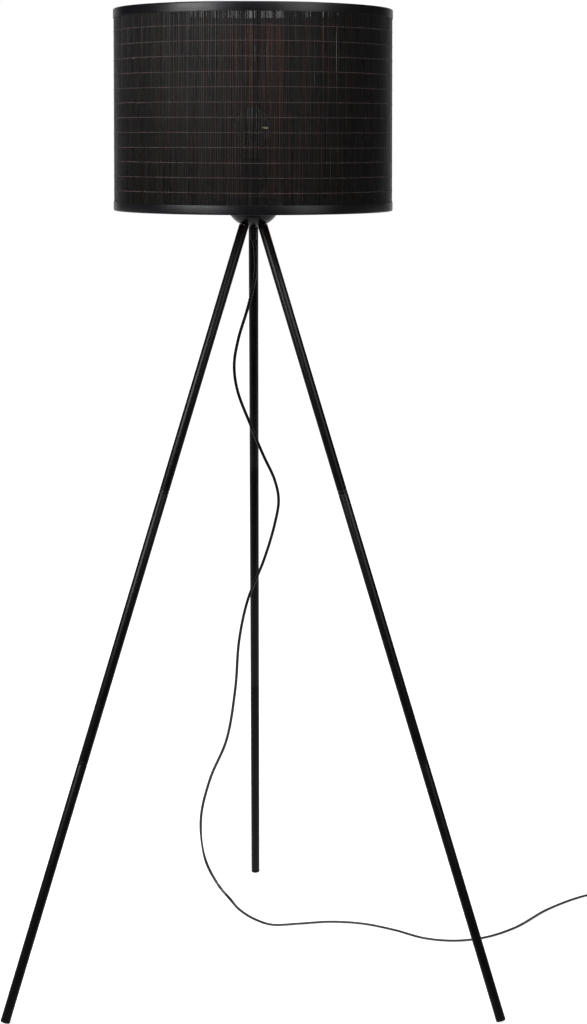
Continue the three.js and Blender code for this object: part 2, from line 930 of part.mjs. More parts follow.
function switchButton() {
  const flangeHigh = switchCavityHigh - seatGap;
  const high = switchCoverHigh + buttonProud;
  return turned([
    [0, flangeHigh - buttonFlangeHeight],
    [buttonFlangeRadius, flangeHigh - buttonFlangeHeight],
    [buttonFlangeRadius, flangeHigh],
    [buttonRadius, flangeHigh],
    [buttonRadius, high - buttonEdge],
    [buttonRadius - buttonEdge, high],
    [0, high],
  ]);
}

function makeSwitch() {
  const footSwitch = new THREE.Group();
  footSwitch.position.set(switchX, switchY, 0);
  footSwitch.add(
    named(
      "switch_base",
      slab(stadium(switchLength, switchWidth), 0, switchBaseHeight, 0),
      blackPlastic,
    ),
    named("switch_cover", switchCover(), blackPlastic),
    named("switch_button", switchButton(), blackPlastic),
  );
  return footSwitch;
}

// Coil of put-away cord: a spiral in on the lower layer, a climb in the half turn where it
// reverses, and a spiral out on the upper layer. The flat cord stands on its narrow side.
const coilStartY = switchExitY - coilLeadLength;
const coilCentreX = switchX + coilOuterRadius;
const coilTurns = 2 * coilTurnsPerLayer + coilClimbTurns;
const coilLayerStep = cordWidth + coilLayerGap;
const coilInnerRadius = coilOuterRadius - coilTurnPitch * coilTurnsPerLayer;

// Radius, height and angle of the coil's centre line after a number of turns.
function coilPlace(turns) {
  const climb = Math.min(1, Math.max(0, (turns - coilTurnsPerLayer) / coilClimbTurns));
  const fromReverse = Math.max(
    0,
    coilTurnsPerLayer - turns,
    turns - coilTurnsPerLayer - coilClimbTurns,
  );
  const radius =
    coilInnerRadius + coilTurnPitch * fromReverse - coilClimbDip * Math.sin(Math.PI * climb);
  const height = coilRestHeight + coilLayerStep * climb * climb * (3 - 2 * climb);
  return { radius, height, angle: Math.PI + 2 * Math.PI * turns };
}

// A flat section of cord carried through rings of places, each with the way across it.
function flatTube(places) {
  const positions = [];
  const faces = [];
  for (const { centre, across } of places) {
    for (let i = 0; i < coilSides; i += 1) {
      const angle = Math.PI / 2 + (i * 2 * Math.PI) / coilSides;
      const point = centre
        .clone()
        .addScaledVector(across, (cordThickness / 2) * Math.cos(angle) * flatSectionShare);
      point.z += (cordWidth / 2) * Math.sin(angle);
      positions.push(point.x, point.y, point.z);
    }
  }
  for (let ringIndex = 0; ringIndex + 1 < places.length; ringIndex += 1) {
    for (let i = 0; i < coilSides; i += 1) {
      const a = ringIndex * coilSides + i;
      const b = ringIndex * coilSides + ((i + 1) % coilSides);
      faces.push(a, b, a + coilSides, b, b + coilSides, a + coilSides);
    }
  }
  const last = (places.length - 1) * coilSides;
  for (let i = 1; i + 1 < coilSides; i += 1) {
    faces.push(0, i + 1, i);
    faces.push(last, last + i, last + i + 1);
  }
  const geometry = new THREE.BufferGeometry();
  geometry.setAttribute("position", new THREE.Float32BufferAttribute(positions, 3));
  geometry.setIndex(faces);
  geometry.computeVertexNormals();
  return geometry;
}
const flatSectionShare = 2 / Math.sqrt(3);

// The coil's rings: a straight end of one cord width, the turns, and a straight end.
function coilRings() {
  const rings = [];
  const steps = Math.round(coilTurns * coilStepsPerTurn);
  for (let step = 0; step <= steps; step += 1) {
    const { radius, height, angle } = coilPlace((coilTurns * step) / steps);
    const across = new THREE.Vector3(-Math.cos(angle), -Math.sin(angle), 0);
    const centre = new THREE.Vector3(
      coilCentreX + radius * Math.cos(angle),
      coilStartY + radius * Math.sin(angle),
      height,
    );
    rings.push({ centre, across });
  }
  const straight = (place, way) => ({
    centre: place.centre.clone().add(new THREE.Vector3(0, way * cordWidth, 0)),
    across: place.across,
  });
  return [straight(rings[0], 1), ...rings, straight(rings[rings.length - 1], 1)];
}

// The least gap between the tube and itself, from the corners of rings over half a turn apart.
function coilSelfGap(rings) {
  const corners = rings.map(({ centre, across }) =>
    Array.from({ length: coilSides }, (_, i) => {
      const angle = Math.PI / 2 + (i * 2 * Math.PI) / coilSides;
      const side = (cordThickness / 2) * Math.cos(angle) * flatSectionShare;
      return [
        centre.x + across.x * side,
        centre.y + across.y * side,
        centre.z + (cordWidth / 2) * Math.sin(angle),
      ];
    }),
  );
  let least = Infinity;
  rings.forEach((place, i) => {
    for (let j = i + coilStepsPerTurn / 2; j < rings.length - 1; j += 1) {
      const next = rings[j + 1].centre.clone().sub(rings[j].centre);
      const along = corners[i].map((corner) => {
        const from = new THREE.Vector3(...corner).sub(rings[j].centre);
        const share = from.dot(next) / next.lengthSq();
        return share >= 0 && share <= 1 ? from.addScaledVector(next, -share) : null;
      });
      for (const from of along) {
        if (!from) continue;
        const side = from.dot(rings[j].across);
        const outside = Math.max(
          Math.abs(side) - cordThickness / 2,
          (Math.abs(side) * (cordWidth / 4)) / (cordThickness / 2) + Math.abs(from.z) - cordWidth / 2,
        );
        least = Math.min(least, outside);
      }
    }
  });
  return least;
}

const coilPlaces = coilRings();
const coilStart = coilPlaces[0].centre;
const coilEnd = coilPlaces[coilPlaces.length - 1].centre;

// Tie: a flat loop round the bundle of turns, halfway round from the start of the climb.
function coilTie() {
  const innerLow = coilInnerRadius - cordThickness / 2 - tieGap;
  const innerHigh = coilOuterRadius + cordThickness / 2 + tieGap;
  const bottom = coilRestHeight - cordWidth / 2 - tieGap;
  const top = coilRestHeight + coilLayerStep + cordWidth / 2 + tieGap;
  const frame = (grow) => [
    [innerLow - grow, bottom - grow],
    [innerHigh + grow, bottom - grow],
    [innerHigh + grow, top + grow],
    [innerLow - grow, top + grow],
  ];
  const outline = new THREE.Shape(frame(tieThickness).map(([x, y]) => new THREE.Vector2(x, y)));
  outline.holes.push(new THREE.Path(frame(0).map(([x, y]) => new THREE.Vector2(x, y))));
  const loop = new THREE.ExtrudeGeometry(outline, { depth: tieWidth, bevelEnabled: false });
  loop.translate(0, 0, -tieWidth / 2);
  loop.rotateX(Math.PI / 2);
  loop.rotateZ(Math.PI + Math.PI / 2);
  return loop.translate(coilCentreX, coilStartY, 0);
}

// Plug: a flat body that widens from its strain relief, with two round pins.
const plugHeight = plugThickness / 2 + seatGap;
const plugX = coilEnd.x;
const plugStartY = coilEnd.y + plugLeadLength;
const plugBodyY = plugStartY + plugReliefLength;
const plugShoulderShares = [
  [0.2, 0],
  [0.5, 0.35],
  [0.5, 0.85],
  [0.42, 1],
];

function plugBody() {
  const outline = new THREE.Shape();
  const corners = plugShoulderShares.map(([x, y]) => [x * plugWidth, y * plugLength]);
  corners.forEach(([x, y], i) => {
    if (i === 0) outline.moveTo(x, y);
    else outline.lineTo(x, y);
  });
  corners.reverse().forEach(([x, y]) => outline.lineTo(-x, y));
  outline.closePath();
  const body = slab(outline, seatGap, seatGap + plugThickness, plugEdge);
  const relief = new THREE.CylinderGeometry(
    plugReliefEndRadius,
    plugReliefStartRadius,
    plugReliefLength + plugReliefOverlap,
    turnedSegments,
  ).translate(0, (plugReliefOverlap - plugReliefLength) / 2, plugHeight);
  return join([body, relief]);
}

function makePlug() {
  const plug = new THREE.Group();
  plug.position.set(plugX, plugBodyY, 0);
  plug.add(named("plug_body", plugBody(), blackPlastic));
  ["left", "right"].forEach((name, i) => {
    const pin = bar(pinDiameter / 2, seatGap, seatGap + pinLength);
    pin.rotateX(-Math.PI / 2);
    pin.translate((i - 1 / 2) * pinSpacing, plugLength, plugHeight);
    plug.add(named(`plug_pin_${name}`, pin, zincSteel));
  });
  return plug;
}

// A short free stretch of cord between two places, level at both ends.
function cordLink(start, end) {
  const quarter = (end.y - start.y) / 4;
  const points = [
    start,
    start.clone().add(new THREE.Vector3(0, quarter, 0)),
    end.clone().add(new THREE.Vector3(0, -quarter, 0)),
    end,
  ];
  return alongPath(points, cordWidth / 2, cordSides, cordLinkSteps);
}

function makeCord() {
  const cord = new THREE.Group();
  const gap = new THREE.Vector3(0, seatGap, 0);
  const switchExit = new THREE.Vector3(switchX, switchExitY, switchGlandHeight);
  const plugStart = new THREE.Vector3(plugX, plugStartY, plugHeight);
  cord.add(
    named("cord_run", alongPath(cordRoute, cordWidth / 2, cordSides, cordSteps), blackFlex),
    named(
      "cord_switch_to_coil",
      cordLink(switchExit.sub(gap), coilStart.clone().add(gap)),
      blackFlex,
    ),
    named("cord_coil", flatTube(coilPlaces), blackFlex),
    named(
      "cord_coil_to_plug",
      cordLink(coilEnd.clone().add(gap), plugStart.sub(gap)),
      blackFlex,
    ),
    named("coil_tie", coilTie(), blackPlastic),
  );
  return cord;
}

// The lamp, with its own box centred over the origin and standing on the floor.
const stand = new THREE.Group();
for (const [i, name] of legNames.entries()) {
  stand.add(makeLeg(name, legAngles[i]));
}
stand.add(makeHub(), makeLampholder(), makeBulb(), makeShade());
const standBox = new THREE.Box3().setFromObject(stand, true);
const standCentre = standBox.getCenter(new THREE.Vector3());

const lamp = new THREE.Group();
lamp.add(stand, makeCord(), makeSwitch(), makePlug());
lamp.position.set(-standCentre.x, -standCentre.y, 0);

const whole = new THREE.Group();
whole.add(lamp);

console.log(`least gap of the coil to itself: ${coilSelfGap(coilPlaces).toFixed(2)} mm`);
console.log(`lamp axis at y ${lamp.position.y.toFixed(3)} mm, height ${standBox.max.z.toFixed(2)} mm`);

export default whole;
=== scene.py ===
"""Looks of a black tripod floor lamp with a drum shade of stitched reeds.

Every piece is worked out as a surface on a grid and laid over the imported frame, in metres, with +Z up
and the single leg at the back on +Y. The lamp's own axis is the upright line through its hub.
"""

import logging
import math
from collections.abc import Sequence
from dataclasses import dataclass, field
from enum import Enum

import bmesh
import bpy
import numpy as np
from mathutils import Matrix, Vector

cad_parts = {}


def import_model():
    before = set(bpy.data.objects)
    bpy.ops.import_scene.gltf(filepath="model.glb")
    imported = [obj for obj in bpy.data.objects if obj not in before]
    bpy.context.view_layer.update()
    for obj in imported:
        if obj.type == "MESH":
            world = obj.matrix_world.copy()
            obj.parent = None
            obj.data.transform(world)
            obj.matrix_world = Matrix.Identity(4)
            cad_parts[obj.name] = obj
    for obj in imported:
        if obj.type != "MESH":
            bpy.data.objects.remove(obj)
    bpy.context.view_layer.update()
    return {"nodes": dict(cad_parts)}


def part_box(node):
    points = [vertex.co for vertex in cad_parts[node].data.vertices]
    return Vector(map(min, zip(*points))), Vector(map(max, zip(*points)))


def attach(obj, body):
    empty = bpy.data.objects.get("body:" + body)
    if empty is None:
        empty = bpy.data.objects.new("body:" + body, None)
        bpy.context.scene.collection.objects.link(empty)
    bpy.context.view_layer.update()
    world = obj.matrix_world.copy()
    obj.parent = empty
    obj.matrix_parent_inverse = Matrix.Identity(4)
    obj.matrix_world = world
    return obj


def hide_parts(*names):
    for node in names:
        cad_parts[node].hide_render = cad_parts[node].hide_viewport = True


logging.basicConfig(level=logging.INFO, format="%(message)s")
log = logging.getLogger("lamp")

MM = 0.001
TURN = 2 * math.pi
PHOTO_HEIGHT_PX = 1024
SEAT_GAP = 0.3 * MM
LEG_AZIMUTHS = {"right": -30.0, "rear": 90.0, "left": 210.0}
Grid = np.ndarray
Pair = tuple[float, float]
Triple = tuple[float, float, float]
Colour = Triple


class Body(str, Enum):
    """The rigid bodies that pieces ride on."""

    STAND = "stand"
    SHADE = "shade"
    CLAMP_RING = "clamp_ring"
    BULB = "bulb"
    BUTTON = "switch_button"


class Slot(str, Enum):
    """The record's material slots that the looks belong to."""

    REEDS = "reeds"
    TAPE = "tape"
    WIRE = "wire"
    THREAD = "thread"
    POWDER_COAT = "powder_coat"
    BOWL_COAT = "bowl_coat"
    STEEL = "steel"
    BRASS = "brass"
    CERAMIC = "ceramic"
    BULB_GLASS = "bulb_glass"
    PLASTIC = "plastic"
    FLEX = "flex"
    FOOT_RUBBER = "foot_rubber"


class Side(Enum):
    """Which edge of the shade a band closes: 1 is the top, -1 the bottom."""

    TOP = 1
    BOTTOM = -1


# Shader expressions


class Signal:
    """A shader socket that Python's own arithmetic works on."""

    def __init__(self, paint: "Paint", socket: bpy.types.NodeSocket | None) -> None:
        """Wraps an output socket of a material."""
        self.paint = paint
        self.socket = socket

    def math(self, operation: str, other: "Signal | float", swap: bool = False) -> "Signal":
        """The result of a Math node on this value and another, which comes first when swapped."""
        values = (other, self) if swap else (self, other)
        return self.paint.node("ShaderNodeMath", {"operation": operation}, dict(enumerate(values)))

    def __add__(self, other: "Signal | float") -> "Signal":
        """This plus other."""
        return self.math("ADD", other)

    def __sub__(self, other: "Signal | float") -> "Signal":
        """This less other."""
        return self.math("SUBTRACT", other)

    def __rsub__(self, other: float) -> "Signal":
        """Other less this."""
        return self.math("SUBTRACT", other, swap=True)

    def __mul__(self, other: "Signal | float") -> "Signal":
        """This times other."""
        return self.math("MULTIPLY", other)

    __radd__ = __add__
    __rmul__ = __mul__

    def clamped(self) -> "Signal":
        """This kept from 0 to 1."""
        return self.math("MINIMUM", 1.0).math("MAXIMUM", 0.0)

    def ramp(self, low: float, high: float) -> "Signal":
        """This as 0 at low and 1 at high, smoothly."""
        settings = {"interpolation_type": "SMOOTHSTEP"}
        return self.paint.node("ShaderNodeMapRange", settings, {0: self, 1: low, 2: high, 3: 0.0, 4: 1.0})


class Paint:
    """A material or world built from nodes, with one method for every kind of node."""

    def __init__(self, owner: bpy.types.Material | bpy.types.World) -> None:
        """Empties the owner's nodes."""
        self.owner = owner
        owner.use_nodes = True
        self.tree = owner.node_tree
        self.tree.nodes.clear()

    @classmethod
    def named(cls, name: str) -> "Paint":
        """A new material of that name."""
        return cls(bpy.data.materials.new(name))

    def node(
        self,
        kind: str,
        settings: dict[str, object] | None = None,
        sockets: dict[int | str, object] | None = None,
        output: int | str = 0,
    ) -> Signal:
        """Adds any node.

        Args:
            kind: The node's type.
            settings: The node's own settings, which are set first.
            sockets: Numbers, tuples or signals for its inputs, by index or name.
            output: The output that is wanted.

        Returns:
            That output as a signal, empty for a node that has none.
        """
        node = self.tree.nodes.new(kind)
        for name, value in (settings or {}).items():
            setattr(node, name, value)
        for key, value in (sockets or {}).items():
            if isinstance(value, Signal):
                self.tree.links.new(value.socket, node.inputs[key])
            else:
                node.inputs[key].default_value = value
        return Signal(self, node.outputs[output] if node.outputs else None)

    def place(self) -> Signal:
        """The point on the object, in metres."""
        return self.node("ShaderNodeTexCoord", output="Object")

    def attribute(self, name: str, output: str = "Fac") -> Signal:
        """A value stored on the mesh's points: Fac for a number, Vector for three."""
        return self.node("ShaderNodeAttribute", {"attribute_name": name}, output=output)

    def stretched(self, place: Signal, scale: Triple) -> Signal:
        """A place scaled along X, Y and Z."""
        return self.node("ShaderNodeMapping", sockets={"Vector": place, "Scale": scale})

    def axis(self, place: Signal, index: int) -> Signal:
        """One of a place's three numbers."""
        return self.node("ShaderNodeSeparateXYZ", sockets={0: place}, output=index)

    def ray(self, kind: str) -> Signal:
        """1 for rays of a kind, such as Camera, and 0 for others."""
        return self.node("ShaderNodeLightPath", output=f"Is {kind} Ray")

    def noise(self, place: Signal, per_metre: float, detail: float = 2.0, rough: float = 0.5) -> Signal:
        """Smooth noise from 0 to 1, of some octaves, each of which keeps a share of the one before."""
        sockets = {"Vector": place, "Scale": per_metre, "Detail": detail, "Roughness": rough}
        return self.node("ShaderNodeTexNoise", sockets=sockets)

    def waves(self, place: Signal, per_metre: float, direction: str, distortion: float) -> Signal:
        """Bands from 0 to 1 across a direction."""
        sockets = {"Vector": place, "Scale": per_metre, "Distortion": distortion}
        return self.node("ShaderNodeTexWave", {"bands_direction": direction}, sockets)

    def blend(self, share: Signal, low: Colour | Signal, high: Colour | Signal) -> Signal:
        """A colour between two: the first at share 0 and the second at 1."""
        sockets = {0: share, 6: rgba(low), 7: rgba(high)}
        return self.node("ShaderNodeMix", {"data_type": "RGBA"}, sockets, output=2)

    def bump(self, height: Signal, distance: float) -> Signal:
        """A normal bumped by a height, which is a share of a distance in metres."""
        return self.node("ShaderNodeBump", sockets={"Height": height, "Distance": distance})

    def finish(self, shader: Signal) -> bpy.types.Material | bpy.types.World:
        """Joins a shader to the output, and gives back the owner."""
        kind = "World" if isinstance(self.owner, bpy.types.World) else "Material"
        self.node(f"ShaderNodeOutput{kind}", sockets={"Surface": shader})
        return self.owner

    def surfaced(self, **sockets: object) -> bpy.types.Material:
        """The material with the main shader, whose inputs are named with underscores for spaces."""
        named = {key.replace("_", " "): rgba(value) for key, value in sockets.items()}
        return self.finish(self.node("ShaderNodeBsdfPrincipled", sockets=named))


def rgba(value: object) -> object:
    """A colour of three numbers with its alpha added, or any other value as it is."""
    return (*value, 1.0) if isinstance(value, tuple) and len(value) == 3 else value


# Finishes


@dataclass(frozen=True)
class Coat:
    """A sprayed or moulded coat: grain in its gloss, a fine orange peel and a faint mottle."""

    name: str
    colour: Colour
    lighter: Colour
    roughness: float
    roughness_swing: float = 0.06
    peel_per_metre: float = 1400.0
    peel_height: float = 0.02 * MM
    mottle_per_metre: float = 45.0
    mottle_from: Pair = (0.35, 0.75)
    specular: float = 0.16

    def material(self) -> bpy.types.Material:
        """The node material."""
        paint = Paint.named(self.name)
        place = paint.place()
        mottle = paint.noise(place, self.mottle_per_metre, detail=4.0)
        peel = paint.noise(place, self.peel_per_metre, detail=3.0)
        gloss = (mottle - 0.5) * self.roughness_swing + (peel - 0.5) * self.roughness_swing + self.roughness
        return paint.surfaced(
            Base_Color=paint.blend(mottle.ramp(*self.mottle_from), self.colour, self.lighter),
            Roughness=gloss.clamped(),
            Specular_IOR_Level=self.specular,
            Normal=paint.bump(peel, self.peel_height),
        )


@dataclass(frozen=True)
class StainedReed:
    """Split reed: dark stain outside with long grain and worn streaks, browner on the split back."""

    dark: Colour = (0.0018, 0.0015, 0.0014)
    pale: Colour = (0.0106, 0.0099, 0.009)
    back_dark: Colour = (0.27, 0.088, 0.043)
    back_pale: Colour = (0.45, 0.185, 0.1)
    pale_by_tone: float = 0.5
    pale_by_grain: float = 0.18
    pale_by_streak: float = 0.2
    pale_less: float = 0.08
    back_by_each: float = 0.5
    roughness: float = 0.17
    roughness_by_tone: float = 0.2
    roughness_by_grain: float = 0.2
    roughness_by_streak: float = 0.06
    specular: float = 0.115
    grain_per_metre: float = 900.0
    grain_length_share: float = 0.02
    grain_height: float = 0.1 * MM
    streak_per_metre: float = 11.0
    streak_from: Pair = (0.5, 0.78)
    reed_spread: float = 90.0

    def material(self) -> bpy.types.Material:
        """The node material: the stain pales by the square of the reed's tone, by grain and by streaks."""
        paint = Paint.named("stained_reed")
        place = paint.place()
        tone = paint.attribute("tone")
        long_grain = paint.stretched(place, (1.0, 1.0, self.grain_length_share))
        grain = paint.noise(long_grain, self.grain_per_metre, detail=3.0, rough=0.6)
        sockets = {0: tone * self.reed_spread, 2: paint.axis(place, 2)}
        own_line = paint.node("ShaderNodeCombineXYZ", sockets=sockets)
        streak = paint.noise(own_line, self.streak_per_metre, detail=3.0).ramp(*self.streak_from)
        share = tone * tone * self.pale_by_tone + grain * self.pale_by_grain
        share = share + streak * (tone * self.pale_by_tone + self.pale_by_streak) - self.pale_less
        outside = paint.blend(share.clamped(), self.dark, self.pale)
        back_share = tone * self.back_by_each + grain * self.back_by_each
        back = paint.blend(back_share.clamped(), self.back_dark, self.back_pale)
        gloss = grain * self.roughness_by_grain + self.roughness
        gloss = gloss + streak * self.roughness_by_streak + tone * self.roughness_by_tone
        return paint.surfaced(
            Base_Color=paint.blend(paint.attribute("inside"), outside, back),
            Roughness=gloss.clamped(),
            Specular_IOR_Level=self.specular,
            Normal=paint.bump(grain, self.grain_height),
        )


@dataclass(frozen=True)
class EdgeTape:
    """Smooth satin tape folded over the shade's edges, with a close weave and slight creases."""

    dark: Colour = (0.0021, 0.002, 0.0034)
    light: Colour = (0.0036, 0.0034, 0.006)
    roughness: float = 0.33
    roughness_by_crease: float = 0.12
    roughness_by_weave: float = 0.05
    specular: float = 0.28
    weave_per_metre: float = 2600.0 / 3
    weave_distortion: float = 0.4
    weave_height_share: float = 0.3
    crease_per_metre: float = 40.0
    crease_stretch: Triple = (0.3, 2.0, 1.0)
    crease_from: Pair = (0.3, 0.8)
    crease_height: float = 0.05 * MM

    def material(self) -> bpy.types.Material:
        """The node material."""
        paint = Paint.named("edge_tape")
        way = paint.attribute("way", "Vector")
        weave = paint.waves(way, self.weave_per_metre, "DIAGONAL", self.weave_distortion)
        crease = paint.noise(paint.stretched(way, self.crease_stretch), self.crease_per_metre, detail=4.0)
        gloss = (crease - 0.5) * self.roughness_by_crease + weave * self.roughness_by_weave + self.roughness
        return paint.surfaced(
            Base_Color=paint.blend(crease.ramp(*self.crease_from), self.dark, self.light),
            Roughness=gloss.clamped(),
            Specular_IOR_Level=self.specular,
            Normal=paint.bump(weave * self.weave_height_share + crease, self.crease_height),
        )


@dataclass(frozen=True)
class TwistedThread:
    """Dull twisted thread, with shade painted into the turns of its twist: darker in their grooves, lighter
    on their crests.
    """

    dark: Colour = (0.05, 0.03, 0.031)
    light: Colour = (0.17, 0.115, 0.115)
    painted_twist_shade: float = 0.5
    light_by_wear: float = 0.35
    light_start: float = 0.15
    roughness: float = 0.9
    smoother_by_twist: float = 0.15
    specular: float = 0.25
    twist_per_metre: float = 700.0 / 6
    twist_height: float = 0.15 * MM
    worn_per_metre: float = 60.0
    worn_from: Pair = (0.3, 0.75)

    def material(self) -> bpy.types.Material:
        """The node material."""
        paint = Paint.named("twisted_thread")
        twist = paint.waves(paint.attribute("way", "Vector"), self.twist_per_metre, "X", 1.0)
        worn = paint.noise(paint.place(), self.worn_per_metre, detail=3.0).ramp(*self.worn_from)
        # Painted shade: the colour darkens in the grooves between the turns of the twist and lightens on
        # their crests; the worn patches are real wear.
        share = twist * self.painted_twist_shade + worn * self.light_by_wear + self.light_start
        return paint.surfaced(
            Base_Color=paint.blend(share.clamped(), self.dark, self.light),
            Roughness=(self.roughness - twist * self.smoother_by_twist).clamped(),
            Specular_IOR_Level=self.specular,
            Normal=paint.bump(twist, self.twist_height),
        )


@dataclass(frozen=True)
class TurnedMetal:
    """Bare metal with the fine rings left by turning and a dull bloom."""

    name: str
    colour: Colour
    bloom: Colour
    roughness: float = 0.18
    roughness_by_rings: float = 0.12
    roughness_by_bloom: float = 0.14
    ring_stretch: Triple = (0.1, 0.1, 1.0)
    ring_per_metre: float = 2600.0
    ring_height: float = 0.01 * MM
    bloom_per_metre: float = 120.0
    bloom_from: Pair = (0.4, 0.75)

    def material(self) -> bpy.types.Material:
        """The node material."""
        paint = Paint.named(self.name)
        place = paint.place()
        rings = paint.noise(paint.stretched(place, self.ring_stretch), self.ring_per_metre)
        bloom = paint.noise(place, self.bloom_per_metre, detail=5.0)
        gloss = rings * self.roughness_by_rings + bloom * self.roughness_by_bloom + self.roughness
        return paint.surfaced(
            Base_Color=paint.blend(bloom.ramp(*self.bloom_from), self.colour, self.bloom),
            Roughness=gloss.clamped(),
            Metallic=1.0,
            Normal=paint.bump(rings, self.ring_height),
        )


@dataclass(frozen=True)
class FrostedGlass:
    """Frosted glass: light passes, blurred by a faintly grained surface."""

    white: Colour = (0.6, 0.59, 0.57)
    shade: Colour = (0.52, 0.51, 0.49)
    roughness: float = 0.3
    roughness_by_frost: float = 0.15
    transmission: float = 0.85
    refraction: float = 1.45
    frost_per_metre: float = 900.0
    frost_height: float = 0.01 * MM
    cloud_per_metre: float = 30.0

    def material(self) -> bpy.types.Material:
        """The node material."""
        paint = Paint.named("frosted_glass")
        frost = paint.noise(paint.place(), self.frost_per_metre, detail=3.0)
        cloud = paint.noise(paint.place(), self.cloud_per_metre)
        return paint.surfaced(
            Base_Color=paint.blend(cloud, self.shade, self.white),
            Roughness=(frost * self.roughness_by_frost + self.roughness).clamped(),
            Transmission_Weight=self.transmission,
            IOR=self.refraction,
            Normal=paint.bump(frost, self.frost_height),
        )


@dataclass(frozen=True)
class CordJacket:
    """Black flexible jacket: satin, with faint drag lines along it and a few scuffs."""

    dark: Colour = (0.0045, 0.0045, 0.0048)
    scuffed: Colour = (0.012, 0.0118, 0.012)
    roughness: float = 0.17
    roughness_by_drag: float = 0.1
    roughness_by_scuff: float = 0.16
    specular: float = 0.8
    drag_stretch: Triple = (0.02, 1.0, 1.0)
    drag_per_metre: float = 1800.0
    drag_height: float = 0.02 * MM
    scuff_per_metre: float = 70.0
    scuff_from: Pair = (0.5, 0.8)

    def material(self) -> bpy.types.Material:
        """The node material."""
        paint = Paint.named("cord_jacket")
        long_way = paint.stretched(paint.attribute("way", "Vector"), self.drag_stretch)
        drag = paint.noise(long_way, self.drag_per_metre, detail=3.0)
        scuff = paint.noise(paint.place(), self.scuff_per_metre, detail=5.0, rough=0.6)
        gloss = drag * self.roughness_by_drag + scuff * self.roughness_by_scuff + self.roughness
        return paint.surfaced(
            Base_Color=paint.blend(scuff.ramp(*self.scuff_from), self.dark, self.scuffed),
            Roughness=gloss.clamped(),
            Specular_IOR_Level=self.specular,
            Normal=paint.bump(drag, self.drag_height),
        )


@dataclass(frozen=True)
class Look:
    """A finish and the record's slot that it belongs to."""

    material: bpy.types.Material
    slot: Slot

    @classmethod
    def coat(cls, slot: Slot, *values: object, **options: float) -> "Look":
        """A coat for a slot, from the coat's own values."""
        return cls(Coat(*values, **options).material(), slot)

    def put_on(self, piece: bpy.types.Object) -> None:
        """Gives a piece this material alone."""
        piece.data.materials.clear()
        piece.data.materials.append(self.material)


class Looks:
    """The lamp's looks, made once each."""

    def __init__(self) -> None:
        """Makes every material."""
        black, grey = (0.0028, 0.0028, 0.003), (0.0048, 0.0048, 0.005)
        soft_black, soft_grey = (0.006, 0.006, 0.0063), (0.01, 0.01, 0.0103)
        bare, bleached = (0.2, 0.165, 0.1), (0.34, 0.29, 0.19)
        cream, white = (0.74, 0.72, 0.68), (0.82, 0.8, 0.76)
        self.reed = Look(StainedReed().material(), Slot.REEDS)
        self.bare_reed = Look.coat(
            Slot.REEDS, "bare_reed", bare, bleached, 0.6, mottle_per_metre=300.0, peel_height=0.05 * MM
        )
        self.tape = Look(EdgeTape().material(), Slot.TAPE)
        self.thread = Look(TwistedThread().material(), Slot.THREAD)
        self.wire = Look.coat(Slot.WIRE, "coated_wire", (0.006, 0.006, 0.0065), (0.011, 0.011, 0.0115), 0.35)
        self.powder = Look.coat(Slot.POWDER_COAT, "powder_coat", black, grey, 0.33, peel_height=0.03 * MM)
        self.enamel = Look.coat(
            Slot.BOWL_COAT, "glossy_enamel", black, (0.0042, 0.0042, 0.0045), 0.2,
            roughness_swing=0.04, peel_height=0.006 * MM, peel_per_metre=500.0, specular=0.25,
        )
        self.plastic = Look.coat(
            Slot.PLASTIC, "moulded_plastic", soft_black, soft_grey, 0.38, peel_per_metre=2600.0
        )
        self.rubber = Look.coat(
            Slot.FOOT_RUBBER, "foot_cap", (0.006,) * 3, (0.012,) * 3, 0.5, peel_per_metre=3000.0
        )
        self.ceramic = Look.coat(
            Slot.CERAMIC, "glazed_ceramic", cream, white, 0.2, peel_height=0.005 * MM, specular=0.5
        )
        steel = TurnedMetal("zinc_steel", (0.6, 0.61, 0.63), (0.46, 0.47, 0.49))
        brass = TurnedMetal("brass", (0.78, 0.6, 0.32), (0.6, 0.44, 0.24))
        self.steel = Look(steel.material(), Slot.STEEL)
        self.brass = Look(brass.material(), Slot.BRASS)
        self.glass = Look(FrostedGlass().material(), Slot.BULB_GLASS)
        self.jacket = Look(CordJacket().material(), Slot.FLEX)


# Surfaces


def signed_volume(points: Grid, faces: Sequence[Grid]) -> float:
    """The volume inside closed faces, positive where they point out: the sum of their fans' determinants."""
    total = 0.0
    for rows in faces:
        for i in range(1, rows.shape[1] - 1):
            a, b, c = points[rows[:, 0]], points[rows[:, i]], points[rows[:, i + 1]]
            total += float(np.einsum("ij,ij->", a, np.cross(b, c))) / 6
    return total


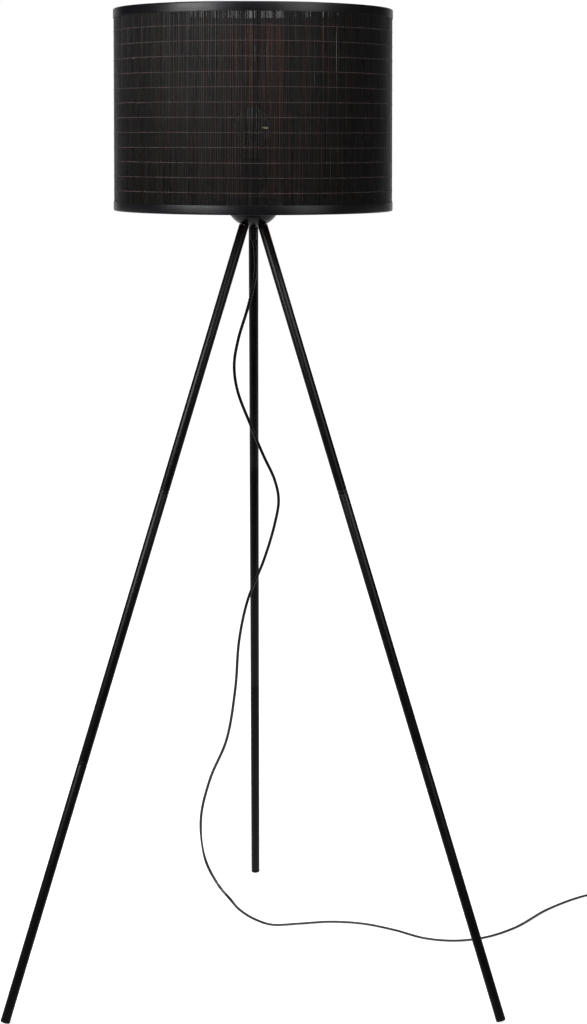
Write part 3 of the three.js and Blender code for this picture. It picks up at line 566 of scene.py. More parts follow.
@dataclass
class Shell:
    """Points and faces of one piece, gathered from closed grids."""

    points: list[Grid] = field(default_factory=list)
    faces: list[Grid] = field(default_factory=list)
    values: dict[str, list[Grid]] = field(default_factory=dict)
    count: int = 0

    def add(self, grid: Grid, loop: bool = False, **values: Grid) -> "Shell":
        """Adds a closed tube of rings, or many like tubes at once.

        Neighbouring rings are joined by quads. The first and last ring get a flat cap, or are joined
        to each other when the rings form a loop. Each tube is turned so that it points out.

        Args:
            grid: Points with shape (rings, points in a ring, 3), with the tubes before them if many.
            loop: Whether the last ring joins the first.
            **values: Values to store on the points, one or three for each.

        Returns:
            This shell.
        """
        tubes = grid if grid.ndim == 4 else grid[None]
        many, rings, around = tubes.shape[:3]
        index = np.arange(rings * around).reshape(rings, around)
        low = index if loop else index[:-1]
        high = np.roll(index, -1, 0) if loop else index[1:]
        faces = [np.stack([low, np.roll(low, -1, 1), np.roll(high, -1, 1), high], -1).reshape(-1, 4)]
        if not loop:
            faces += [index[:1, ::-1], index[-1:]]
        if signed_volume(tubes[0].reshape(-1, 3), faces) < 0:
            faces = [rows[:, ::-1] for rows in faces]
        starts = self.count + np.arange(many)[:, None, None] * rings * around
        self.faces += [(rows + starts).reshape(-1, rows.shape[1]) for rows in faces]
        self.points.append(tubes.reshape(-1, 3))
        for name, value in values.items():
            self.values.setdefault(name, []).append(value.reshape(many * rings * around, -1))
        self.count += many * rings * around
        return self

    def make(self, name: str, sharp_degrees: float = 40.0) -> bpy.types.Object:
        """Puts the shell into a new object at the origin.

        Args:
            name: What it shows. The object is called this with _visual added, so no node has its name.
            sharp_degrees: Edges that turn further than this stay sharp.

        Returns:
            The object.
        """
        mesh = bpy.data.meshes.new(name)
        mesh.vertices.add(self.count)
        mesh.vertices.foreach_set("co", np.concatenate(self.points).astype(np.float32).ravel())
        corners = np.concatenate([rows.ravel() for rows in self.faces])
        sizes = np.concatenate([np.full(len(rows), rows.shape[1]) for rows in self.faces])
        mesh.loops.add(len(corners))
        mesh.loops.foreach_set("vertex_index", corners.astype(np.int32))
        mesh.polygons.add(len(sizes))
        mesh.polygons.foreach_set("loop_start", (np.cumsum(sizes) - sizes).astype(np.int32))
        mesh.update(calc_edges=True)
        for key, parts in self.values.items():
            value = np.concatenate(parts).astype(np.float32)
            kind, item = ("FLOAT_VECTOR", "vector") if value.shape[1] == 3 else ("FLOAT", "value")
            mesh.attributes.new(key, kind, "POINT").data.foreach_set(item, value.ravel())
        mesh.polygons.foreach_set("use_smooth", np.ones(len(sizes), bool))
        mesh.set_sharp_from_angle(angle=math.radians(sharp_degrees))
        piece = bpy.data.objects.new(f"{name}_visual", mesh)
        bpy.context.scene.collection.objects.link(piece)
        return piece


def rounded(corners: Sequence[Pair], radii: Sequence[float], steps: int = 5) -> Grid:
    """An open outline with its corners rounded.

    At each corner the arc starts and ends radius / tan(half the corner's angle) along the two sides,
    less where a side is too short, and bulges towards the corner.

    Args:
        corners: The outline's corners.
        radii: The radius at each corner, 0 for a sharp one.
        steps: Points in an arc, less one.

    Returns:
        The outline's points.
    """
    line = np.asarray(corners, float)
    out = [line[:1]]
    for i in range(1, len(line) - 1):
        before, here, after = line[i - 1], line[i], line[i + 1]
        back, ahead = before - here, after - here
        reach = min(np.linalg.norm(back), np.linalg.norm(ahead))
        back, ahead = unit(back), unit(ahead)
        half = math.acos(float(np.clip(back @ ahead, -1, 1))) / 2
        if radii[i] <= 0 or half > math.pi / 2 - 0.02:
            out.append(here[None])
            continue
        cut = min(radii[i] / math.tan(half), 0.49 * reach)
        radius = cut * math.tan(half)
        centre = here + unit(back + ahead) * (radius / math.sin(half))
        share = np.linspace(0, 1, steps + 1)[:, None]
        arc = (here + back * cut - centre) * (1 - share) + (here + ahead * cut - centre) * share
        out.append(centre + unit(arc) * radius)
    out.append(line[-1:])
    return np.concatenate(out)


def washer(inner: float, outer: float, low: float, high: float, radii: Sequence[float]) -> Grid:
    """A flat ring's outline with rounded corners, from the middle of its lower face round outside."""
    middle = (inner + outer) / 2
    corners = [(middle, low), (outer, low), (outer, high), (inner, high), (inner, low), (middle, low)]
    return rounded(corners, [0, *radii, 0])[:-1]


def angles(count: int) -> Grid:
    """Evenly spaced angles round a circle."""
    return np.arange(count) * TURN / count


def outward(angle: Grid) -> Grid:
    """The level unit directions at some angles."""
    return np.stack([np.cos(angle), np.sin(angle), np.zeros_like(angle)], -1)


def turned(profile: Grid, segments: int, centre: Vector | Grid = (0, 0, 0)) -> Grid:
    """A profile of (radius, height) rows turned about an upright axis.

    A point is centre + (radius cos a, radius sin a, height), for angles a round the circle.

    Args:
        profile: The profile's rows.
        segments: The steps round the axis.
        centre: The point of the axis that heights are measured from.

    Returns:
        The grid, a ring for each row of the profile.
    """
    profile = np.asarray(profile, float)
    flat = outward(angles(segments)) * profile[:, :1, None]
    flat[..., 2] = profile[:, 1:]
    return flat + np.asarray(centre, float)


def fluted(grid: Grid, rows: Grid, depth: float, count: int, power: int = 1) -> Grid:
    """A turned grid with upright grooves cut as a cosine of the angle.

    Args:
        grid: The grid, about the Z axis.
        rows: True for the rings that are cut.
        depth: The grooves' depth.
        count: How many there are.
        power: The power of the cosine, higher for wider ridges.

    Returns:
        The cut grid.
    """
    groove = depth * (0.5 - 0.5 * np.cos(angles(grid.shape[1]) * count)) ** power
    size = np.linalg.norm(grid[..., :2], axis=-1)
    cut = grid.copy()
    cut[..., :2] *= (1 - groove * rows[:, None] / size)[..., None]
    return cut


def leaned(grid: Grid, start: Grid, direction: Grid) -> Grid:
    """A grid made about the Z axis, moved so that this axis runs from start along a unit direction."""
    turn = np.array(Vector((0, 0, 1)).rotation_difference(Vector(direction)).to_matrix())
    return grid @ turn.T + np.asarray(start, float)


def swept(path: Grid, wide: Grid, face: Grid, section: Grid) -> Grid:
    """A section carried along a path: each point is path + x times wide + y times face.

    Args:
        path: The centre line's points.
        wide: The unit direction of the section's x, for all points or for each.
        face: The unit direction of its y, in the same way.
        section: The section's points, as one outline or one for each point of the path.

    Returns:
        The grid, a ring for each point of the path.
    """
    wide, face = np.broadcast_to(wide, path.shape), np.broadcast_to(face, path.shape)
    outline = section if section.ndim == 3 else np.broadcast_to(section, (len(path), *section.shape))
    return path[:, None] + outline[..., :1] * wide[:, None] + outline[..., 1:] * face[:, None]


def ways(along: Grid, around: Grid) -> Grid:
    """Distances along and round a piece, stored on its points for the finishes that follow it."""
    along, around = np.broadcast_arrays(along, around)
    return np.stack([along, around, around * 0], -1)


def unit(rows: Grid) -> Grid:
    """Each row at length 1."""
    return rows / np.linalg.norm(rows, axis=-1, keepdims=True)


def tangents(path: Grid) -> Grid:
    """The unit direction along a path at each of its points, by central differences."""
    return unit(np.gradient(path, axis=0))


def eased(share: Grid) -> Grid:
    """A share, kept from 0 to 1, as a smooth step."""
    share = np.clip(share, 0, 1)
    return share**2 * (3 - 2 * share)


def ribs(share: Grid, count: int) -> Grid:
    """Shallow grooves as a share of their depth, by a cosine over a share kept from 0 to 1."""
    return 0.5 - 0.5 * np.cos(TURN * count * np.clip(share, 0, 1))


def squared(wave: Grid, power: float | Grid) -> Grid:
    """A cosine or sine raised to a power with its sign kept, which squares a circle."""
    return np.sign(wave) * np.abs(wave) ** power


def lengths(path: Grid) -> Grid:
    """The length along a path up to each of its points."""
    steps = np.linalg.norm(np.diff(path, axis=0), axis=1)
    return np.concatenate([[0.0], np.cumsum(steps)])


def resampled(path: Grid, step: float) -> Grid:
    """A path's points spaced evenly, about a step apart, by straight interpolation."""
    along = lengths(path)
    wanted = np.linspace(0, along[-1], max(2, round(along[-1] / step) + 1))
    return np.stack([np.interp(wanted, along, path[:, k]) for k in range(3)], 1)


def between(low: Grid, high: Grid, low_knot: Grid, high_knot: Grid, at: Grid) -> Grid:
    """Straight interpolation from low at its knot to high at its knot, read at some place."""
    return (low * (high_knot - at) + high * (at - low_knot)) / (high_knot - low_knot)


def smooth_curve(points: Grid, per_span: int = 24) -> Grid:
    """A centripetal Catmull-Rom curve through points.

    Each span blends its four nearest points with knots spaced by the square root of their distances.

    Args:
        points: The points that it passes through.
        per_span: Steps in each span.

    Returns:
        The curve's points.
    """
    ends = np.concatenate([[2 * points[0] - points[1]], points, [2 * points[-1] - points[-2]]])
    spacing = np.sqrt(np.linalg.norm(np.diff(ends, axis=0), axis=1))[:, None, None]
    t1, t2, t3 = spacing[:-2], spacing[:-2] + spacing[1:-1], spacing[:-2] + spacing[1:-1] + spacing[2:]
    t0 = np.zeros_like(t1)
    t = t1 + (t2 - t1) * (np.arange(per_span) / per_span)[None, :, None]
    q0, q1, q2, q3 = ends[:-3, None], ends[1:-2, None], ends[2:-1, None], ends[3:, None]
    a1, a2, a3 = between(q0, q1, t0, t1, t), between(q1, q2, t1, t2, t), between(q2, q3, t2, t3, t)
    b1, b2 = between(a1, a2, t0, t2, t), between(a2, a3, t1, t3, t)
    return np.concatenate([between(b1, b2, t1, t2, t).reshape(-1, 3), points[-1:]])


def round_section(radius: float, sides: int) -> Grid:
    """A circle of some sides."""
    return radius * outward(angles(sides))[:, :2]


def stadium(length: float, width: float, columns: int) -> Grid:
    """A stadium long in y: half circles with evenly spread points, joined by straight sides."""
    radius = width / 2
    angle = angles(columns) + TURN / columns / 2
    shift = np.where(np.sin(angle) > 0, 1.0, -1.0) * (length / 2 - radius)
    return np.stack([radius * np.cos(angle), radius * np.sin(angle) + shift], 1)


def threaded(radius: float, low: float, high: float, pitch: float, depth: float, columns: int = 72) -> Grid:
    """The side of a round screw thread about the Z axis.

    The radius falls by a cosine of the height in pitches less the angle's share of a turn, and the
    thread fades over half a pitch at its ends.

    Args:
        radius: The crest's radius.
        low: The lower end.
        high: The upper end.
        pitch: The thread's pitch.
        depth: The thread's depth.
        columns: Points round the axis.

    Returns:
        The rings from low to high.
    """
    rows_per_pitch = 8
    height = np.linspace(low, high, max(2, round((high - low) / pitch * rows_per_pitch)) + 1)[:, None]
    angle = angles(columns)[None]
    wave = 0.5 - 0.5 * np.cos(TURN * (height / pitch - angle / TURN))
    fade = np.clip(np.minimum(height - low, high - height) / (pitch * 0.5), 0, 1)
    out = radius - depth * (1 - (1 - wave) * fade)
    return np.stack([out * np.cos(angle), out * np.sin(angle), np.broadcast_to(height, out.shape)], -1)


# The frame and the workbench


@dataclass(frozen=True)
class Box:
    """A node's bounding box."""

    low: Vector
    high: Vector

    @classmethod
    def of(cls, node: str) -> "Box":
        """That node's box."""
        return cls(*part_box(node))

    @property
    def centre(self) -> Vector:
        """Its middle."""
        return (self.low + self.high) / 2

    @property
    def width(self) -> float:
        """Its size in x."""
        return self.high.x - self.low.x

    @property
    def length(self) -> float:
        """Its size in y."""
        return self.high.y - self.low.y

    @property
    def radius(self) -> float:
        """Half its size in x."""
        return self.width / 2


@dataclass(frozen=True)
class Line:
    """The centre line of a long round node, from its upper end to its lower end."""

    start: Grid
    end: Grid
    radius: float

    @classmethod
    def of(cls, piece: bpy.types.Object) -> "Line":
        """Fits the line to the node's points: their longest direction, through the middle of their spread."""
        points = np.array([v.co for v in piece.data.vertices], float)
        centre = points.mean(0)
        way = np.linalg.svd(points - centre, full_matrices=False)[2][0]
        way = way * (-np.sign(way[2]) or 1.0)
        along = (points - centre) @ way
        off = points - centre - along[:, None] * way
        middle = centre + (off.max(0) + off.min(0)) / 2
        middle = middle - ((middle - centre) @ way) * way
        radius = float(np.linalg.norm(off, axis=1).max())
        return cls(middle + along.min() * way, middle + along.max() * way, radius)

    @property
    def way(self) -> Grid:
        """The unit direction down the line."""
        return unit(self.end - self.start)

    @property
    def length(self) -> float:
        """The line's length."""
        return float(np.linalg.norm(self.end - self.start))


@dataclass(frozen=True)
class LampAxis:
    """The upright axis of the hub and shade."""

    x: float
    y: float

    @classmethod
    def found(cls) -> "LampAxis":
        """The axis through the hub's cover."""
        low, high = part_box("hub_cover")
        return cls((low.x + high.x) / 2, (low.y + high.y) / 2)

    def at(self, height: float) -> Grid:
        """The axis's point at a height."""
        return np.array([self.x, self.y, height])


@dataclass(frozen=True)
class Workbench:
    """What every maker works with: the frame's nodes, the lamp's axis and its looks."""

    nodes: dict[str, bpy.types.Object]
    axis: LampAxis
    looks: Looks

    def line(self, node: str) -> Line:
        """The centre line of a node."""
        return Line.of(self.nodes[node])

    def dress(self, look: Look, *nodes: str) -> None:
        """Gives a look to nodes that are shown as they are."""
        for node in nodes:
            look.put_on(self.nodes[node])


def dressed(piece: bpy.types.Object, look: Look, body: Body, *nodes: str) -> bpy.types.Object:
    """Gives a piece its look and its body, hides the nodes that it stands for, and gives it back."""
    look.put_on(piece)
    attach(piece, body.value)
    if nodes:
        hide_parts(*nodes)
    log.info("%s rides on %s", piece.name, body.value)
    return piece


@dataclass
class Maker:
    """Makes pieces on the workbench."""

    bench: Workbench

    @property
    def foot(self) -> Grid:
        """The point where the lamp's axis meets the floor."""
        return self.bench.axis.at(0.0)

    @property
    def looks(self) -> Looks:
        """The lamp's looks."""
        return self.bench.looks

    def piece(
        self, name: str, shell: Shell, look: Look, body: Body = Body.STAND, *nodes: str, sharp: float = 40.0
    ) -> bpy.types.Object:
        """Makes a shell into a dressed piece.

        Args:
            name: What it shows.
            shell: Its surface.
            look: The look whose material it gets.
            body: The body that it rides on.
            *nodes: The nodes that it stands for, if not the one of its own name.
            sharp: Edges that turn further than this, in degrees, stay sharp.

        Returns:
            The piece.
        """
        return dressed(shell.make(name, sharp), look, body, *(nodes or (name,)))


# Camera and light


@dataclass(frozen=True)
class Photographer:
    """The camera, placed from the lamp's axis on the floor as the photograph was taken."""

    focal_px: float = 2050.1
    sensor_mm: float = 36.0
    pitch_down_degrees: float = 10.3
    yaw_degrees: float = 0.801
    roll_degrees: float = 0.138
    eye_mm: Triple = (19.6, -3400.5, 1427.6)

    def place(self, axis: LampAxis) -> None:
        """Makes the scene's camera."""
        data = bpy.data.cameras.new("camera")
        data.sensor_width = self.sensor_mm
        data.sensor_fit = "AUTO"
        data.lens = self.focal_px * self.sensor_mm / PHOTO_HEIGHT_PX
        data.clip_end = 100.0
        camera = bpy.data.objects.new("camera", data)
        bpy.context.scene.collection.objects.link(camera)
        pitch, yaw, roll = map(math.radians, (self.pitch_down_degrees, self.yaw_degrees, self.roll_degrees))
        ahead = Vector((math.sin(yaw) * math.cos(pitch), math.cos(yaw) * math.cos(pitch), -math.sin(pitch)))
        level = Vector((math.cos(yaw), -math.sin(yaw), 0.0))
        above = level.cross(ahead)
        right = level * math.cos(roll) + above * math.sin(roll)
        up = above * math.cos(roll) - level * math.sin(roll)
        eye = Vector(self.eye_mm) * MM + Vector(axis.at(0.0))
        camera.matrix_world = Matrix.Translation(eye) @ Matrix((right, up, -ahead)).transposed().to_4x4()
        bpy.context.scene.camera = camera


@dataclass(frozen=True)
class SoftBox:
    """A flat studio lamp that faces the lamp's axis. Its azimuth is 0 in front and grows to the right."""

    name: str
    azimuth_degrees: float
    distance: float
    height: float
    width: float
    tall: float
    watts: float
    aim_height: float
    gloss_only: bool = False

    def place(self, axis: LampAxis) -> None:
        """Puts the lamp up."""
        data = bpy.data.lights.new(self.name, "AREA")
        data.shape = "RECTANGLE"
        data.size, data.size_y = self.width, self.tall
        data.energy = self.watts
        lamp = bpy.data.objects.new(self.name, data)
        bpy.context.scene.collection.objects.link(lamp)
        angle = math.radians(self.azimuth_degrees)
        spot = Vector((math.sin(angle), -math.cos(angle), 0.0)) * self.distance + Vector(axis.at(self.height))
        lamp.location = spot
        lamp.visible_camera = False
        lamp.visible_diffuse = not self.gloss_only
        lamp.rotation_euler = (Vector(axis.at(self.aim_height)) - spot).to_track_quat("-Z", "Y").to_euler()


@dataclass(frozen=True)
class Studio:
    """A white sweep: a pale floor, a white world behind, and soft boxes at the front and sides."""

    floor_radius: float = 14.0
    floor_colour: Colour = (0.9, 0.9, 0.9)
    floor_gloss_colour: Colour = (0.02, 0.02, 0.02)
    floor_glow: float = 0.8
    floor_white_from: Pair = (-0.6, -0.2)
    floor_far_from: Pair = (0.6, 2.2)
    floor_gloss_share: float = 0.75
    world_fill: float = 0.15
    world_front: float = 0.03
    world_back: float = 1.0
    backdrop_from: Pair = (0.81, 0.955)
    white: Colour = (1.0, 1.0, 1.0)
    boxes: tuple[SoftBox, ...] = (
        SoftBox("key_box", -46.0, 3.0, 2.0, 1.8, 0.75, 80.0, 1.5),
        SoftBox("side_box", 40.0, 3.0, 1.95, 1.2, 1.5, 25.0, 1.4, gloss_only=True),
        SoftBox("high_box", 42.0, 2.8, 2.9, 3.0, 0.9, 50.0, 1.2, gloss_only=True),
        SoftBox("top_box", 0.0, 0.25, 3.0, 1.3, 1.3, 36.0, 1.6),
    )

    def build(self, axis: LampAxis) -> None:
        """Makes the floor, the world and the lamps."""
        bpy.context.scene.view_settings.view_transform = "Standard"
        self.lay_floor(axis)
        self.light_world()
        for box in self.boxes:
            box.place(axis)

    def lay_floor(self, axis: LampAxis) -> None:
        """Lays a pale round floor. Its glow is seen by the camera and, behind the lamp, in gloss."""
        mesh = bpy.data.meshes.new("floor")
        points = outward(angles(96)) * self.floor_radius + axis.at(0.0)
        mesh.from_pydata(points.tolist(), [], [list(range(len(points)))])
        floor = bpy.data.objects.new("floor", mesh)
        bpy.context.scene.collection.objects.link(floor)
        paint = Paint.named("floor")
        glossy = paint.ray("Glossy")
        depth = paint.axis(paint.place(), 1)
        behind = depth.ramp(*self.floor_white_from)
        in_gloss = glossy * behind * self.floor_gloss_share
        seen = (paint.ray("Camera") + paint.ray("Transmission") + in_gloss).clamped()
        colour = paint.blend(glossy, self.floor_colour, self.floor_gloss_colour)
        board = paint.node("ShaderNodeBsdfDiffuse", sockets={"Color": colour})
        glow = paint.blend(depth.ramp(*self.floor_far_from), (self.floor_glow,) * 3, self.white)
        light = paint.node("ShaderNodeEmission", sockets={"Color": glow, "Strength": 1.0})
        dark = paint.node("ShaderNodeEmission", sockets={"Strength": 0.0})
        shown = paint.node("ShaderNodeMixShader", sockets={0: seen, 1: dark, 2: light})
        mesh.materials.append(paint.finish(paint.node("ShaderNodeAddShader", sockets={0: board, 1: shown})))

    def light_world(self) -> None:
        """Makes the world: white where it is seen, soft grey as light, darker in gloss at the front."""
        world = bpy.data.worlds.new("studio")
        bpy.context.scene.world = world
        paint = Paint(world)
        glossy = paint.ray("Glossy")
        back = paint.axis(paint.node("ShaderNodeTexCoord", output="Generated"), 1)
        sheen = back.ramp(*self.backdrop_from) * (self.world_back - self.world_front) + self.world_front
        plain = (paint.ray("Camera") + paint.ray("Transmission")).clamped()
        level = plain + (1.0 - plain) * (glossy * sheen + (1.0 - glossy) * self.world_fill)
        sockets = {"Color": rgba(self.white), "Strength": level}
        paint.finish(paint.node("ShaderNodeBackground", sockets=sockets))


# The cord and what is on it


@dataclass
class FlexCord(Maker):
    """The flat twin cord, from the grip past the back leg and along the floor to the switch and plug."""

    width: float = 5.2 * MM
    thickness: float = 3.4 * MM
    groove: float = 0.35 * MM
    groove_share: float = 0.12
    square_powers: Pair = (0.8, 0.62)
    sides: int = 20
    step: float = 3.0 * MM
    floor_gap: float = 0.1 * MM
    plug_depth: float = 2 * MM
    coil_lead: float = 37 * MM
    straight_share: float = 0.3
    coil_radius: float = 31 * MM
    coil_pitch: float = 4.2 * MM
    coil_layer_turns: float = 1.5
    coil_climb_turns: float = 0.5
    coil_climb_dip: float = 1.2 * MM
    coil_layer_step: float = 5.8 * MM
    coil_height: float = 3.9 * MM
    coil_points_per_turn: int = 72
    settle: float = 28 * MM
    twist_degrees: float = 72.0
    twist_height: float = 105 * MM
    twist_reach: float = 40 * MM
    twist_within: float = 0.75
    route_mm: tuple[Triple, ...] = (
        (3, 3, 1247), (3, 9, 1208), (-8, 22, 1157), (-26, 42, 1096), (-33, 58, 1052), (-28, 75, 1007),
        (-6, 101, 944), (16, 122, 888), (36, 140, 841), (43, 154, 803), (36, 170, 756), (17, 194, 687),
        (-12, 217, 609), (-28, 240, 529), (-36, 268, 428), (-53, 295, 323), (-85, 316, 239),
        (-103, 333, 154), (-95, 340, 72), (-70, 331, 24), (-48, 308, 5.6), (-28, 257, 2.9), (3, 207, 2.9),
        (33, 183, 2.9), (81, 188, 2.9), (141, 197, 2.9), (200, 187, 2.9), (256, 156, 2.9), (309, 116, 2.9),
        (363, 104, 2.9), (418, 119, 2.9), (478, 165, 2.9), (549, 254, 2.9), (612, 312, 2.9),
        (648, 334, 2.9), (672, 336, 3.6), (687, 322, 7),
    )

    def stretches(self) -> tuple[list[Grid], Grid]:
        """The cord's centre line in stretches.

        Returns:
            The free run to the switch, the lead into the coil, the coil and the lead to the plug, and the
            coil's outward directions.
        """
        cover, plug = Box.of("switch_cover"), Box.of("plug_body")
        gland_height = Box.of("cord_switch_to_coil").high.z - self.width / 2
        start = self.bench.axis.at(Box.of("cord_grip").low.z - SEAT_GAP)
        into = np.array([cover.centre.x, cover.high.y + SEAT_GAP, gland_height])
        out_of = np.array([cover.centre.x, cover.low.y - SEAT_GAP, gland_height])
        before = into + np.array([0.0, 2 * self.width - SEAT_GAP, 0.0])
        middle = np.array(self.route_mm, float) * MM + self.foot
        run = smooth_curve(np.vstack([start, middle, before, into]))
        run[:, 2] = np.maximum(run[:, 2], self.thickness / 2 + self.floor_gap)
        coil, faces = self.coil(cover.centre.x, cover.low.y)
        plug_end = np.array([plug.centre.x, plug.low.y + self.plug_depth, plug.centre.z])
        straight = np.array([0, self.coil_lead * self.straight_share, 0])
        beside = np.array([0, self.width, 0])
        lead_in = smooth_curve(np.vstack([out_of, out_of - straight, coil[0] + beside, coil[0]]))
        lead_out = smooth_curve(np.vstack([coil[-1], coil[-1] + beside, plug_end - straight, plug_end]))
        return [run, lead_in, coil, lead_out], faces

    def coil(self, start_x: float, switch_end: float) -> tuple[Grid, Grid]:
        """The coil: in on the lower layer, a climb in half a turn, and out on the upper layer.

        The radius falls by the pitch each turn and rises again after the climb, and the height rises
        by one layer over the climb as a smooth step.

        Args:
            start_x: The x at which the coil starts.
            switch_end: The y of the switch's outlet.

        Returns:
            The centre line, and the outward direction at each point.
        """
        turns = 2 * self.coil_layer_turns + self.coil_climb_turns
        t = np.linspace(0, turns, round(turns * self.coil_points_per_turn) + 1)
        climb = np.clip((t - self.coil_layer_turns) / self.coil_climb_turns, 0, 1)
        inner = self.coil_radius - self.coil_pitch * self.coil_layer_turns
        past = t - self.coil_layer_turns
        away = np.maximum(0, np.maximum(-past, past - self.coil_climb_turns))
        radius = inner + self.coil_pitch * away - self.coil_climb_dip * np.sin(math.pi * climb)
        out = outward(math.pi + TURN * t)
        centre = np.array([start_x + self.coil_radius, switch_end - self.coil_lead, 0.0])
        line = centre + out * radius[:, None]
        line[:, 2] = self.coil_height + self.coil_layer_step * eased(climb)
        return line, out

    def section(self) -> Grid:
        """The flat twin section: a rounded bar drawn in a little along its middle."""
        across, through = outward(angles(self.sides))[:, :2].T
        x = self.width / 2 * squared(across, self.square_powers[0])
        waist = self.groove * np.exp(-((x / (self.width * self.groove_share)) ** 2))
        return np.column_stack([x, (self.thickness / 2 - waist) * squared(through, self.square_powers[1])])

    def build(self, with_pieces: Sequence[bpy.types.Object]) -> bpy.types.Object:
        """The flat side faces down or back on the run, and out from the centre in the coil. Where the run
        reaches the floor it is twisted, most at the twist's height.

        Args:
            with_pieces: The pieces on the cord; not used.

        Returns:
            The cord.
        """
        stretches, coil_out = self.stretches()
        line = np.vstack([stretches[0], *(stretch[1:] for stretch in stretches[1:])])
        path = resampled(line, self.step)
        joined = lengths(line)
        ends = np.cumsum([len(stretch) - 1 for stretch in stretches])
        run_end, coil_start, coil_end, _ = joined[ends]
        way, along = tangents(path), lengths(path)
        hang = np.clip(-way[:, 2:], 0, 1)
        face = hang * np.array([0.0, -1.0, 0.0]) + np.sqrt(1 - hang**2) * np.array([0.0, 0.0, 1.0])
        coil_along = joined[ends[1] : ends[2] + 1]
        in_coil = np.stack([np.interp(along, coil_along, coil_out[:, k]) for k in range(3)], 1)
        entering = np.clip((along - coil_start + self.settle) / self.settle, 0, 1)
        leaving = np.clip((coil_end + self.settle - along) / self.settle, 0, 1)
        share = eased(entering * leaving)[:, None]
        face = face * (1 - share) + in_coil * share
        wide = unit(np.cross(way, face))
        face = np.cross(wide, way)
        off_height = (path[:, 2] - self.twist_height) / self.twist_reach
        twist = math.radians(self.twist_degrees) * np.exp(-(off_height**2))
        twist = (twist * (along < run_end * self.twist_within))[:, None]
        turned_wide = wide * np.cos(twist) + face * np.sin(twist)
        turned_face = face * np.cos(twist) - wide * np.sin(twist)
        grid = swept(path, turned_wide, turned_face, self.section())
        way_stored = ways(along[:, None], np.arange(self.sides) / self.sides * self.width * 3)
        nodes = ("cord_run", "cord_switch_to_coil", "cord_coil", "cord_coil_to_plug")
        shell = Shell().add(grid, way=way_stored)
        cord = self.piece("cord", shell, self.looks.jacket, Body.STAND, *nodes, sharp=180)
        log.info("the cord is %.3f m long", along[-1])
        return cord


